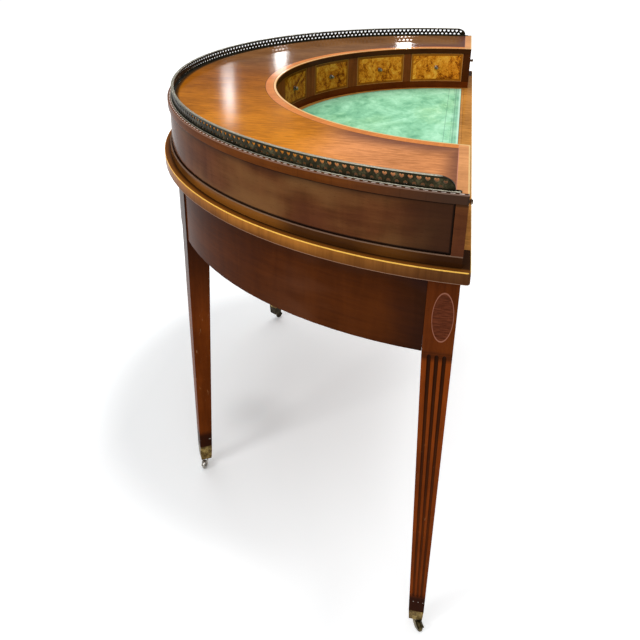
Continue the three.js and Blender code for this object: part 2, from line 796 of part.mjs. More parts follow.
function forkGeometry() {
  const crownMiddle = crownTop - crownThickness / 2;
  const crown = cylinder(crownRadius, crownThickness, castorSides);
  crown.rotateX(Math.PI / 2);
  crown.translate(0, 0, crownMiddle);
  const pin = cylinder(pinRadius, pinLength + crownThickness, castorSides);
  pin.rotateX(Math.PI / 2);
  pin.translate(0, 0, crownMiddle + pinLength / 2);
  const span = wheelWidth / 2 + cheekGap;
  const axle = cylinder(axleRadius, 2 * (span + cheekThickness), castorSides);
  axle.translate(castorTrail, 0, wheelCentre);
  let fork = toSolid(crown).add(toSolid(pin)).add(toSolid(axle));
  for (const y of [-span - cheekThickness, span]) {
    const options = { depth: cheekThickness, bevelEnabled: false, curveSegments: cheekCurveSteps };
    const cheek = new THREE.ExtrudeGeometry(cheekShape(), options);
    cheek.rotateX(Math.PI / 2);
    cheek.translate(0, y + cheekThickness, 0);
    fork = fork.add(toSolid(cheek));
  }
  return toGeometry(fork);
}

function wheelGeometry() {
  const half = wheelWidth / 2;
  const profile = [
    point(wheelBoreRadius, -half),
    point(wheelRadius - wheelEdge, -half),
    point(wheelRadius, -half + wheelEdge),
    point(wheelRadius, half - wheelEdge),
    point(wheelRadius - wheelEdge, half),
    point(wheelBoreRadius, half),
    point(wheelBoreRadius, -half),
  ];
  return new THREE.LatheGeometry(profile, wheelSides);
}

function buildCastors() {
  const footCentre = frontLegFace - footWidth / 2;
  const footDepth = frontLegFront + footWidth / 2;
  const backCentre = backLegRadius - footWidth / 2;
  const backAxis = backLegDegrees * degree;
  const back = polar(backCentre, backAxis);
  const places = {
    front_left: [-footCentre, footDepth, 0],
    front_right: [footCentre, footDepth, 0],
    back_left: [-back.x, back.y, Math.PI - backAxis],
    back_right: [back.x, back.y, backAxis],
  };
  const socket = socketGeometry();
  const fork = forkGeometry();
  const wheel = wheelGeometry();
  for (const [name, [x, y, turn]] of Object.entries(places)) {
    addMesh(`socket_${name}`, socket, brass, turnedGroup(x, y, turn));
    const group = turnedGroup(x, y, castorDegrees[name] * degree);
    addMesh(`fork_${name}`, fork, agedBrass, group);
    const mesh = addMesh(`wheel_${name}`, wheel, agedBrass, group);
    mesh.position.set(castorTrail, 0, wheelCentre);
  }
}

buildTableTop();
buildSuperstructure();
buildDividers();
buildEndDividers();
buildBankDrawers();
buildPierDrawers();
buildGallery();
buildFrieze();
buildFrontLegs();
buildBackLegs();
buildFrontFrame();
buildFriezeDrawers();
buildRunnerFrame();
buildCastors();

// The origin is on the floor, under the middle of the whole desk.
desk.position.y = -topRadius / 2;

const group = new THREE.Group();
group.add(desk);

export default group;
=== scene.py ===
import math

import bpy
from mathutils import Matrix, Vector
from mathutils.geometry import tessellate_polygon


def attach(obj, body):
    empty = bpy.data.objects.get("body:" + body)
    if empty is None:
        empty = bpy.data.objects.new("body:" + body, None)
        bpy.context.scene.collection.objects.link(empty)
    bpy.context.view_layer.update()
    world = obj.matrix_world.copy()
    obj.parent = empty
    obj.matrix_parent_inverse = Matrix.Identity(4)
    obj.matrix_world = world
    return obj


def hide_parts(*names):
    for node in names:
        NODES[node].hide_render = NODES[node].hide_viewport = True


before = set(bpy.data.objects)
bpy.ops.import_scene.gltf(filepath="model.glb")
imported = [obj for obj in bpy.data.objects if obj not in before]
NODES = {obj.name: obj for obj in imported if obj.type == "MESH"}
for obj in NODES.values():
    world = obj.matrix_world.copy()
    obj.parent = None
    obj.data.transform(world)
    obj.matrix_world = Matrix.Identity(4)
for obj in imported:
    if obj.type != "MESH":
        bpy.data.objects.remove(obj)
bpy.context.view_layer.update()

# Everything is in metres, in the row frame. The circles of the desk are struck about the middle of the
# table top's front edge, which stands at (0, CENTRE_Y).
CENTRE_Y = -0.336

# The gallery: radius of its band, heights, thicknesses, and distances behind the table top's front edge.
GALLERY_RADIUS = 0.648
GALLERY_FOOT = 0.868
STRIP_TOP = 0.8696
GALLERY_TOP = 0.889
RAIL_BOTTOM = 0.8864
RAIL_WIDTH = 0.006
STRIP_WIDTH = 0.009
HALF_BAND = 0.0008
BAND_LOW = STRIP_TOP - 0.0004
BAND_HIGH = RAIL_BOTTOM + 0.0006
STRIP_FRONT = 0.023
BAND_FRONT = 0.032
SWEEP = 0.027
RING_STEPS = 240

# Its pattern: hearts under the rail and half domes over the strip, in equal cells round the half circle.
CELLS = 158
PATTERN_START = math.asin(0.0642 / GALLERY_RADIUS)
PATTERN_PITCH = (math.pi - 2 * PATTERN_START) / CELLS
HEART_WIDTH = 0.0074
HEART_HEIGHT = 0.0062
HEART_TOP = RAIL_BOTTOM - 0.0016
DOME_WIDTH = 0.0062
DOME_HEIGHTS = (STRIP_TOP + 0.0016, STRIP_TOP + 0.0064)

# The drawers' fronts: the heights of their edges, and where their faces and ends are.
UPPER_FRONTS = (0.7773, 0.853)
FRIEZE_FRONTS = (0.6255, 0.725)
BANK_FACE_RADIUS = 0.438
PIER_FACE_Y = -0.323
FRIEZE_FACE_Y = -0.322
PIER_DRAWER_X = (0.4508, 0.6427)
SIDE_DRAWER_X = (0.2608, 0.6024)
MIDDLE_DRAWER_X = 0.2392
# From each end of the bank to its middle: the angle that a drawer slides at, half its width, and how light it is, a
# factor of painted light and shade on its colour.
BANK_DRAWERS = ((13.6, 0.07095, 1.12), (35, 0.07095, 1.04), (56.4, 0.06228, 0.86), (77.5, 0.06228, 0.72))

# The camera that was fitted to the photograph: its place, its yaw, pitch and roll in radians, and its lens.
CAMERA_PLACE = (-1.54839, -0.29094, 1.21521)
CAMERA_TURN = (0.2172, 0.4243, 0.0058)
CAMERA_LENS = 39.43
CAMERA_SHIFT = (0.0289, -0.150)

# Each lamp's name, place, target, width, height and power.
LAMPS = (
    ("ceiling", (0.9, 0.3, 3.4), (0.1, 0, 0.8), 2.6, 2.6, 70),
    ("overhead", (-2.1, -0.1, 3.1), (0, 0, 0.6), 2.2, 2.2, 32),
    ("fill", (-3.2, 2.5, 2.3), (0, 0, 0.5), 1.1, 1.1, 52),
    ("window_1", (4.09, 1.6, 1.96), (-0.17, 0.17, 0.87), 0.1, 0.46, 1.25),
    ("window_1_bright", (3.98, 1.55, 1.98), (-0.22, 0.15, 0.87), 0.06, 0.16, 0.8),
    ("window_2", (4.59, 1.26, 1.74), (0.22, 0.16, 0.87), 0.1, 0.16, 2.2),
    ("window_3", (4.97, 0.2, 1.64), (0.48, -0.14, 0.87), 0.12, 0.13, 2.3),
)


# ---- camera and stage -------------------------------------------------------

def add_object(name, data):
    made = bpy.data.objects.new(name, data)
    bpy.context.scene.collection.objects.link(made)
    return made


def circle(x, y, radius, z, count):
    return [(x + radius * math.cos(2 * math.pi * k / count), y + radius * math.sin(2 * math.pi * k / count), z)
            for k in range(count)]


def make_camera():
    data = bpy.data.cameras.new("camera")
    camera = add_object("camera", data)
    yaw, pitch, roll = CAMERA_TURN
    forward = Vector((math.cos(yaw) * math.cos(pitch), math.sin(yaw) * math.cos(pitch), -math.sin(pitch)))
    right = Vector((math.sin(yaw), -math.cos(yaw), 0))
    up = right.cross(forward)
    right, up = (right * math.cos(roll) + up * math.sin(roll), up * math.cos(roll) - right * math.sin(roll))
    turn = Matrix((right, up, -forward)).transposed().to_4x4()
    camera.matrix_world = Matrix.Translation(CAMERA_PLACE) @ turn
    data.sensor_width = 36
    data.lens = CAMERA_LENS
    data.shift_x, data.shift_y = CAMERA_SHIFT
    data.clip_start = 0.05
    data.clip_end = 100
    bpy.context.scene.camera = camera


def add_lamp(name, place, target, width, height, power):
    data = bpy.data.lights.new(name, "AREA")
    data.shape = "RECTANGLE"
    data.size = width
    data.size_y = height
    data.energy = power
    lamp = add_object(name, data)
    lamp.location = place
    lamp.rotation_euler = (Vector(target) - Vector(place)).to_track_quat("-Z", "Y").to_euler()


def make_world():
    """A pale surround for the light and the reflections. The camera sees plain white above the floor's edge."""
    world = bpy.data.worlds.new("studio")
    bpy.context.scene.world = world
    world.use_nodes = True
    nodes, links = world.node_tree.nodes, world.node_tree.links
    pale = nodes["Background"]
    pale.inputs["Color"].default_value = (0.86, 0.88, 0.9, 1)
    pale.inputs["Strength"].default_value = 0.38
    white = nodes.new("ShaderNodeBackground")
    white.inputs["Color"].default_value = (1, 1, 1, 1)
    path = nodes.new("ShaderNodeLightPath")
    choice = nodes.new("ShaderNodeMixShader")
    links.new(path.outputs["Is Camera Ray"], choice.inputs[0])
    links.new(pale.outputs[0], choice.inputs[1])
    links.new(white.outputs[0], choice.inputs[2])
    links.new(choice.outputs[0], nodes["World Output"].inputs["Surface"])


def make_floor():
    """A round white floor. Beyond the desk it turns plain white, and under the desk it keeps the shade, deepened by
    painted shade.
    """
    mesh = bpy.data.meshes.new("floor")
    corners, radius = 96, 16
    mesh.from_pydata(circle(0, 0, radius, 0, corners), [], [range(corners)])
    floor = add_object("floor", mesh)
    g = Graph("floor_white")
    path = g.node("ShaderNodeLightPath")
    seen = g.either(path.outputs["Is Camera Ray"], path.outputs["Is Glossy Ray"], path.outputs["Is Transmission Ray"])
    g.set("Base Color", (0.85, 0.866, 0.872, 1))
    g.set("Roughness", 0.9)
    g.set("Specular IOR Level", 0.1)
    g.set("Emission Color", (1, 1, 1, 1))
    x, y, _ = g.place()
    # Painted shade: the glow is lowered near the desk into a pool of shade, which reaches further towards the desk's
    # round back than to its front, with a painted shadow spot behind the left of the desk's middle.
    slope = g.remap(y, 0.45, -0.25, 0.03, 0.47)
    painted_shadow_spot = g.ease(g.length(g.add(x, 0.13), g.sub(y, 0.14)), 0.0, 0.13, 0.12, 0.0)
    distance = g.length(x, y)
    rim = g.mul(g.ease(distance, 0.5, 0.66, 0, 0.22), g.remap(y, -0.15, 0.1))
    beyond = g.ease(distance, 0.7, 1.1, 0, 0.5)
    level = g.add(g.add(g.sub(slope, painted_shadow_spot), rim), beyond)
    g.link(g.mul(seen, level), "Emission Strength")
    mesh.materials.append(g.material)


# ---- materials --------------------------------------------------------------

class Graph:
    """One node material: small helpers that return sockets, so that the maths reads from left to right."""

    def __init__(self, name):
        self.material = bpy.data.materials.new(name)
        self.material.use_nodes = True
        self.tree = self.material.node_tree
        self.tree.nodes.clear()
        self.output = self.node("ShaderNodeOutputMaterial")
        self.bsdf = self.node("ShaderNodeBsdfPrincipled")
        self.tree.links.new(self.bsdf.outputs[0], self.output.inputs["Surface"])
        self.coords = None

    def node(self, kind, **settings):
        made = self.tree.nodes.new(kind)
        for key, value in settings.items():
            setattr(made, key, value)
        return made

    def put(self, socket, value):
        if isinstance(value, bpy.types.NodeSocket):
            self.tree.links.new(value, socket)
        else:
            socket.default_value = value

    def set(self, name, value):
        self.bsdf.inputs[name].default_value = value

    def link(self, socket, name):
        self.tree.links.new(socket, self.bsdf.inputs[name])

    def math(self, operation, a, b=None):
        made = self.node("ShaderNodeMath", operation=operation)
        self.put(made.inputs[0], a)
        if b is not None:
            self.put(made.inputs[1], b)
        return made.outputs[0]

    def add(self, a, b):
        return self.math("ADD", a, b)

    def sub(self, a, b):
        return self.math("SUBTRACT", a, b)

    def mul(self, a, b):
        return self.math("MULTIPLY", a, b)

    def length(self, a, b):
        return self.math("SQRT", self.add(self.mul(a, a), self.mul(b, b)))

    def place(self):
        """x, y and z of the object's own coordinates, which are the row frame's at rest."""
        if self.coords is None:
            texture = self.node("ShaderNodeTexCoord")
            split = self.node("ShaderNodeSeparateXYZ")
            self.tree.links.new(texture.outputs["Object"], split.inputs[0])
            self.coords = tuple(split.outputs)
        return self.coords

    def polar(self):
        """Radius and angle about the circles' centre, and z. The angle is 0 at +X and pi at -X."""
        x, y, z = self.place()
        behind_front = self.sub(y, CENTRE_Y)
        return self.length(x, behind_front), self.math("ARCTAN2", behind_front, x), z

    def vector(self, x, y, z):
        made = self.node("ShaderNodeCombineXYZ")
        for index, value in enumerate((x, y, z)):
            self.put(made.inputs[index], value)
        return made.outputs[0]

    def noise(self, vector, scale=1.0, detail=4.0, roughness=0.55, distortion=0.0):
        made = self.node("ShaderNodeTexNoise")
        self.put(made.inputs["Vector"], vector)
        made.inputs["Scale"].default_value = scale
        made.inputs["Detail"].default_value = detail
        made.inputs["Roughness"].default_value = roughness
        made.inputs["Distortion"].default_value = distortion
        return made.outputs["Fac"]

    def cells(self, vector, scale):
        """The distance to the nearest of many scattered points."""
        made = self.node("ShaderNodeTexVoronoi", feature="F1")
        self.put(made.inputs["Vector"], vector)
        made.inputs["Scale"].default_value = scale
        return made.outputs["Distance"]

    def remap(self, value, low, high, to_low=0.0, to_high=1.0, kind="LINEAR"):
        made = self.node("ShaderNodeMapRange", clamp=True, interpolation_type=kind)
        self.put(made.inputs["Value"], value)
        made.inputs["From Min"].default_value = low
        made.inputs["From Max"].default_value = high
        made.inputs["To Min"].default_value = to_low
        made.inputs["To Max"].default_value = to_high
        return made.outputs["Result"]

    def ease(self, value, low, high, to_low=0.0, to_high=1.0):
        return self.remap(value, low, high, to_low, to_high, "SMOOTHSTEP")

    def ramp(self, value, stops):
        made = self.node("ShaderNodeValToRGB")
        self.put(made.inputs["Fac"], value)
        elements = made.color_ramp.elements
        while len(elements) < len(stops):
            elements.new(0.5)
        for element, (place, colour) in zip(elements, stops):
            element.position = place
            element.color = (*colour, 1)
        return made.outputs["Color"]

    def mix(self, factor, a, b, blend="MIX"):
        made = self.node("ShaderNodeMix", data_type="RGBA", blend_type=blend)
        self.put(made.inputs[0], factor)
        for index, value in ((6, a), (7, b)):
            self.put(made.inputs[index], value if isinstance(value, bpy.types.NodeSocket) else (*value, 1))
        return made.outputs[2]

    def tinted(self, colour, tint):
        return self.mix(1.0, colour, tint, "MULTIPLY")

    def band(self, value, low, high, soft=0.0003):
        """1 where value lies from low to high, with edges soft metres wide."""
        rise = self.remap(value, low - soft / 2, low + soft / 2)
        fall = self.remap(value, high - soft / 2, high + soft / 2, 1, 0)
        return self.mul(rise, fall)

    def other(self, mask):
        return self.sub(1.0, mask)

    def either(self, *masks):
        result = masks[0]
        for mask in masks[1:]:
            result = self.math("MAXIMUM", result, mask)
        return result

    def bump(self, height, strength, distance):
        made = self.node("ShaderNodeBump")
        made.inputs["Strength"].default_value = strength
        made.inputs["Distance"].default_value = distance
        self.put(made.inputs["Height"], height)
        self.link(made.outputs[0], "Normal")


def wood_layers(g, along, across, depth, stops, figure=0.5, seed=0.0):
    """Colour, pore mask and tone of figured wood. along, across and depth are lengths in metres by the grain."""
    drift = g.noise(g.vector(g.mul(along, 3.0), g.mul(across, 9.0), g.add(g.mul(depth, 9.0), seed)), detail=2)
    bent = g.add(across, g.mul(g.sub(drift, 0.5), 0.04))

    def layer(length_scale, width_scale, shift, **settings):
        return g.noise(g.vector(g.mul(along, length_scale), g.mul(bent, width_scale),
                                g.add(g.mul(depth, width_scale), seed + shift)), **settings)

    grain = layer(9.0, 130.0, 0.0, detail=6, roughness=0.62)
    broad = layer(4.0, 16.0, 7.3, detail=3)
    flame = layer(34.0, 7.0, 3.1, detail=3, distortion=0.6)
    tone = g.add(g.add(g.mul(g.sub(grain, 0.5), 0.9), g.mul(g.sub(broad, 0.5), 1.1)),
                 g.mul(g.sub(flame, 0.5), figure))
    pores = g.remap(layer(90.0, 1500.0, 0.0, detail=2), 0.6, 0.74)
    return g.ramp(g.add(tone, 0.5), stops), pores, tone


def mottled_wood(g, along, across, seed=0.0):
    """Tone and pores of satiny show wood: a cloudy ground with short flecks, and little streaking."""
    cloud = g.noise(g.vector(g.mul(along, 5.0), g.mul(across, 11.0), seed), detail=4, distortion=0.5)
    drift = g.noise(g.vector(g.mul(along, 6.0), g.mul(across, 30.0), seed + 4.0), detail=3)
    bent = g.add(across, g.mul(drift, 0.02))
    fleck = g.noise(g.vector(g.mul(along, 60.0), g.mul(bent, 330.0), seed + 1.7), detail=3, roughness=0.6)
    fine = g.noise(g.vector(g.mul(along, 26.0), g.mul(bent, 150.0), seed + 9.1), detail=4)
    tone = g.add(g.add(g.mul(g.sub(cloud, 0.5), 1.5), g.mul(g.sub(fleck, 0.5), 1.1)), g.mul(g.sub(fine, 0.5), 1.1))
    pores = g.noise(g.vector(g.mul(along, 150.0), g.mul(bent, 1100.0), seed + 2.0), detail=2)
    return g.add(tone, 0.5), g.mul(g.remap(pores, 0.58, 0.74), 0.6)


def finish_wood(g, colour, pores, tone, roughness=0.36, coat=0.5):
    """The polish on wood: its pores are darker and rougher, and its gloss varies in a slow haze."""
    haze = g.noise(g.vector(*g.place()), scale=14, detail=4)
    rough = g.add(g.remap(haze, 0.3, 0.7, roughness - 0.05, roughness + 0.05), g.mul(pores, 0.15))
    g.link(g.mix(g.mul(pores, 0.45), colour, (0.02, 0.006, 0.002)), "Base Color")
    g.link(rough, "Roughness")
    g.set("Specular IOR Level", 0.0)
    g.set("Coat Weight", coat)
    g.set("Coat Roughness", 0.13)
    g.set("Coat IOR", 1.1)
    g.bump(g.add(g.mul(pores, -0.6), g.mul(tone, 0.3)), 0.1, 0.0006)


def shades(red, green, blue, low=0.5, high=1.45):
    """The four stops of a wood's ramp, from its darkest streak to its palest, about a middle colour."""
    steps = ((0.0, low), (0.4, low + (1 - low) * 0.75), (0.62, 1 + (high - 1) * 0.3), (1.0, high))
    return tuple((place, (red * k, green * k ** 1.12, blue * k ** 1.25)) for place, k in steps)


TOP_GOLD = shades(0.24, 0.066, 0.002, 0.55, 1.4)
TOP_AMBER = shades(0.5, 0.168, 0.01, 0.58, 1.4)
TOP_ROSE = shades(0.6, 0.235, 0.085, 0.62, 1.35)
TOP_BROWN = shades(0.175, 0.074, 0.024, 0.6, 1.35)
LEDGE_GOLD = shades(0.45, 0.19, 0.038, 0.62, 1.35)
LEDGE_RED = shades(0.17, 0.055, 0.008)
EDGE_GOLD = shades(0.35, 0.126, 0.02)
EDGE_BROWN = shades(0.3, 0.102, 0.014)
MAHOGANY_RED = shades(0.115, 0.022, 0.0022)
MAHOGANY_BROWN = shades(0.3, 0.1, 0.014)
PANEL_BROWN = shades(0.112, 0.036, 0.011)
APRON_BROWN = shades(0.074, 0.0168, 0.0024, 0.6, 1.35)
LEG_RED = shades(0.152, 0.031, 0.0035)
INLAY_RED = shades(0.1, 0.024, 0.009, 0.35, 2.4)
STILE_BROWN = shades(0.2, 0.05, 0.01)
POST_BROWN = shades(0.075, 0.018, 0.003)
CROSSBAND = shades(0.6, 0.2, 0.05, 0.7, 1.2)
CROSSBAND_PALE = shades(0.62, 0.275, 0.105, 0.6, 1.3)
DRAWER_BAND = shades(0.3, 0.09, 0.006)
DRAWER_LINING = shades(0.3, 0.125, 0.04, 0.7, 1.25)
BURR = ((0.0, (0.07, 0.013, 0.0005)), (0.3, (0.24, 0.055, 0.003)), (0.52, (0.58, 0.17, 0.008)),
        (0.75, (0.74, 0.27, 0.02)), (1.0, (0.85, 0.4, 0.05)))
LEATHER_GREEN = ((0.0, (0.12, 0.38, 0.22)), (0.3, (0.22, 0.53, 0.31)), (0.6, (0.31, 0.66, 0.41)),
                 (1.0, (0.46, 0.82, 0.56)))
WORN_BRASS = ((0.3, (0.02, 0.011, 0.004)), (0.5, (0.13, 0.08, 0.024)), (0.62, (0.34, 0.24, 0.08)),
              (0.8, (0.62, 0.5, 0.22)))
AGED_BRASS = ((0.3, (0.022, 0.017, 0.007)), (0.5, (0.08, 0.06, 0.025)), (0.72, (0.24, 0.19, 0.09)))
DARK_BRASS = ((0.3, (0.008, 0.006, 0.003)), (0.5, (0.026, 0.02, 0.01)), (0.72, (0.1, 0.08, 0.045)))
GREEN_BRASS = ((0.3, (0.008, 0.007, 0.004)), (0.5, (0.028, 0.025, 0.013)), (0.72, (0.12, 0.1, 0.05)))
KNOB_BRASS = ((0.3, (0.06, 0.04, 0.03)), (0.55, (0.22, 0.17, 0.13)), (0.75, (0.6, 0.52, 0.42)))
WORN_STEEL = ((0.3, (0.1, 0.09, 0.075)), (0.5, (0.42, 0.39, 0.35)), (0.7, (0.8, 0.77, 0.72)))
STRING_LIGHT = (0.72, 0.47, 0.2)
STRING_DARK = (0.018, 0.007, 0.004)


def front_painted_shade(g, colour, y, start, end, tint):
    """Painted shade: multiplies colour by tint towards the front, from y = start to y = end."""
    return g.mix(g.remap(y, start, end), colour, g.tinted(colour, tint))


def top_wood():
    """The upper top: mottled show wood between crossbands and lines, with a moulded edge outside the gallery."""
    g = Graph("top_wood")
    x, y, z = g.place()
    radius, angle, _ = g.polar()
    tone, pores = mottled_wood(g, y, x)

    # The show wood is deep gold round the back, amber on the left, brown on the right and rose at the front ends.
    drift = g.mul(g.sub(g.noise(g.vector(x, y, z), scale=5, detail=2), 0.5), 0.16)
    to_left = g.remap(g.add(x, drift), 0.0, -0.46)
    to_front = g.ease(g.add(y, drift), -0.05, -0.18)
    to_right = g.ease(g.add(x, drift), -0.12, 0.24)
    colour = g.mix(to_left, g.ramp(tone, TOP_GOLD), g.ramp(tone, TOP_AMBER))
    colour = g.mix(to_front, colour, g.ramp(tone, TOP_ROSE))
    colour = g.mix(to_right, colour, g.ramp(tone, TOP_BROWN))

    # Painted shade: the show wood darkens beside the crossbands at the front.
    painted_shade_by_ring = g.mul(g.ease(radius, 0.52, 0.457), g.ease(y, -0.02, -0.16))
    painted_shade_by_end = g.ease(y, -0.27, -0.3055)
    colour = g.mix(g.either(g.mul(painted_shade_by_ring, 0.8), g.mul(painted_shade_by_end, 0.75)), colour, (0.1, 0.035, 0.03))

    # A crossband follows the inner edge, with a dark line at each side, and another closes each end.
    ring_cross, _, _ = wood_layers(g, radius, g.mul(angle, 0.45), z, CROSSBAND, figure=0.25, seed=5)
    end_cross, _, _ = wood_layers(g, y, x, z, CROSSBAND_PALE, figure=0.6, seed=9)
    ends = g.band(y, -0.4, -0.3055)
    colour = g.mix(g.band(radius, 0.2, 0.4565), colour, ring_cross)
    colour = g.mix(ends, colour, end_cross)
    ring_lines = g.mul(g.either(g.band(radius, 0.4563, 0.4575), g.band(radius, 0.4392, 0.4398)), g.other(ends))
    colour = g.mix(g.mul(ring_lines, 0.8), colour, STRING_DARK)

    # Painted shade and reflection of the gallery: two dark rings inside it, where its shade and the rail's dark
    # reflection lie, a dark foot beside it, and a deeper painted shade behind its left side, which narrows towards the
    # front.
    rings = g.either(g.mul(g.band(radius, 0.6195, 0.6275, 0.004), 0.75),
                     g.mul(g.band(radius, 0.6275, 0.6365, 0.003), 0.3))
    rings = g.mul(rings, g.remap(angle, 2.45, 2.7))
    foot = g.remap(radius, 0.634, 0.639, 0, 0.9)
    limit = g.sub(g.sub(GALLERY_RADIUS, g.remap(angle, 2.09, 2.62, 0, 0.04)), g.remap(angle, 2.62, 3.05, 0, 0.011))
    behind = g.mul(g.remap(g.sub(radius, limit), 0.0, 0.02, 0, 0.85), g.remap(angle, 2.2, 2.4))
    # Painted shade: all of it together, kept off the front ends.
    dull = g.mul(g.either(rings, foot, behind), g.remap(y, -0.302, -0.29))
    colour = g.mix(dull, colour, (0.03, 0.018, 0.008))

    # A pale line borders the inner edge and the ends, and a rosy one the end crossband.
    colour = g.mix(g.either(g.band(radius, 0.4345, 0.4385), g.band(y, -0.34, -0.3205)), colour, STRING_LIGHT)
    colour = g.mix(g.band(y, -0.3054, -0.3046), colour, (0.6, 0.25, 0.16))

    # Below the arris, on the inner and front edges, and outside the gallery, it is plain dark mahogany.
    edge, _, _ = wood_layers(g, g.mul(angle, 0.6), z, radius, MAHOGANY_BROWN, figure=0.4, seed=12)
    inner_or_front = g.either(g.band(radius, 0.2, 0.44), g.band(y, -0.34, -0.3205))
    inner_face = g.mul(g.remap(z, 0.8662, 0.8668, 1, 0), inner_or_front)
    outside = g.remap(radius, 0.6515, 0.652)
    edge = g.mix(inner_face, edge, g.tinted(edge, (0.4, 0.42, 0.5)))
    colour = g.mix(g.either(inner_face, outside), colour, g.tinted(edge, (0.41, 0.33, 0.36)))
    # Painted shade: outside the gallery the edge darkens towards the front.
    colour = g.mix(g.mul(outside, g.remap(y, -0.12, -0.3, 0, 0.8)), colour, (0.045, 0.027, 0.019))

    # Painted light: a line of pale dashes outside the gallery, in step with its piercings, where their light and
    # reflection fall. The outer arris has a painted highlight.
    cell = g.math("FRACT", g.math("DIVIDE", g.sub(angle, PATTERN_START), PATTERN_PITCH))
    painted_light_dashes = g.mul(g.band(cell, 0.15, 0.7, 0.1), g.mul(g.band(radius, 0.6536, 0.6558), g.remap(z, 0.8672, 0.8676)))
    colour = g.mix(g.mul(painted_light_dashes, 0.9), colour, (0.82, 0.68, 0.6))
    arris = g.mul(g.band(radius, 0.6572, 0.66), g.band(z, 0.8668, 0.87))
    colour = g.mix(g.mul(arris, 0.4), colour, (0.4, 0.26, 0.2))
    finish_wood(g, colour, pores, tone, roughness=0.34)
    return g.material


def table_wood():
    """The table top: a gold ledge within a dark line, a red margin outside it, and a golden edge with painted
    highlights on its arrises and painted shade below them and towards the front.
    """
    g = Graph("table_wood")
    x, y, z = g.place()
    radius, angle, _ = g.polar()
    tone, pores = mottled_wood(g, y, x, seed=2)
    margin, _, _ = wood_layers(g, g.mul(angle, 0.6), radius, z, LEDGE_RED, figure=0.3, seed=2)
    # Painted shade: the margin darkens where it meets the superstructure's foot.
    margin = g.mix(g.remap(radius, 0.666, 0.6605, 0, 0.85), margin, (0.012, 0.004, 0.002))
    colour = g.mix(g.remap(radius, 0.5995, 0.6005), g.ramp(tone, LEDGE_GOLD), margin)
    colour = g.mix(g.band(radius, 0.5992, 0.6008), colour, STRING_DARK)

    # The round edge and the front edge, each with its figure across them.
    round_edge, _, _ = wood_layers(g, z, g.mul(angle, 0.67), radius, EDGE_GOLD, figure=0.7, seed=4)
    # Painted shade: the round edge darkens towards the front.
    round_edge = front_painted_shade(g, round_edge, y, -0.08, -0.31, (0.3, 0.31, 0.6))
    colour = g.mix(g.remap(radius, 0.6695, 0.6705), colour, round_edge)
    front_edge, _, _ = wood_layers(g, z, x, y, EDGE_BROWN, figure=0.7, seed=5)
    colour = g.mix(g.remap(y, -0.3352, -0.3356), colour, front_edge)
    # Painted shade on the lower part of the round edge.
    low_shade = g.mul(g.remap(z, 0.756, 0.7425, 0, 0.6), g.remap(radius, 0.6705, 0.6712))
    colour = g.mix(low_shade, colour, (0.07, 0.02, 0.006))

    # The arrises have painted highlights.
    upper = g.mul(g.band(radius, 0.6711, 0.68), g.band(z, 0.7582, 0.77, 0.0005))
    lower = g.mul(g.band(radius, 0.669, 0.68), g.band(z, 0.73, 0.7412, 0.0005))
    front = g.mul(g.band(y, -0.35, -0.3345), g.band(z, 0.7568, 0.77, 0.0006))
    colour = g.mix(g.mul(upper, 0.95), colour, (1.0, 0.56, 0.1))
    colour = g.mix(g.mul(lower, 0.5), colour, (0.5, 0.3, 0.2))
    colour = g.mix(g.mul(front, 0.8), colour, (0.8, 0.55, 0.22))
    finish_wood(g, colour, pores, tone)
    return g.material


def straight_wood(name, stops, axis, figure=0.5, seed=0.0, roughness=0.36, coat=0.5):
    """Grain that runs along one axis."""
    g = Graph(name)
    x, y, z = g.place()
    along, across, depth = {"x": (x, y, z), "y": (y, x, z), "z": (z, x, y)}[axis]
    colour, pores, tone = wood_layers(g, along, across, depth, stops, figure, seed)
    finish_wood(g, colour, pores, tone, roughness, coat)
    return g.material


def base_wood():
    """The floor board of the superstructure: grain that runs round the desk."""
    g = Graph("base_wood")
    radius, angle, z = g.polar()
    finish_wood(g, *wood_layers(g, g.mul(angle, 0.65), z, radius, MAHOGANY_RED, seed=6), roughness=0.34)
    return g.material


def apron_wood():
    """Grain that runs round the desk, with pale and dark clouds, and painted shade at the top and beside the front
    legs.
    """
    g = Graph("apron_wood")
    _, y, _ = g.place()
    radius, angle, z = g.polar()
    colour, pores, tone = wood_layers(g, g.mul(angle, 0.65), z, radius, APRON_BROWN, figure=0.8, seed=1)
    cloud = g.noise(g.vector(g.mul(angle, 2.4), g.mul(z, 8.0), 7.3), detail=3, roughness=0.5)
    pale = g.mul(g.ease(cloud, 0.5, 0.64, 0, 0.8), g.remap(y, 0.02, -0.12))
    dark = g.ease(cloud, 0.48, 0.36, 0, 0.5)
    # Painted shade: darker at the top, under the table top.
    high = g.ease(z, 0.706, 0.73, 0, 0.4)
    colour = g.mix(pale, colour, (0.115, 0.038, 0.016))
    colour = g.mix(dark, colour, (0.045, 0.011, 0.004))
    colour = g.mix(high, colour, (0.03, 0.008, 0.003))
    # Painted shade beside the front legs.
    colour = front_painted_shade(g, colour, y, -0.215, -0.27, (0.5, 0.6, 1.2))
    finish_wood(g, colour, pores, tone, roughness=0.34)
    return g.material


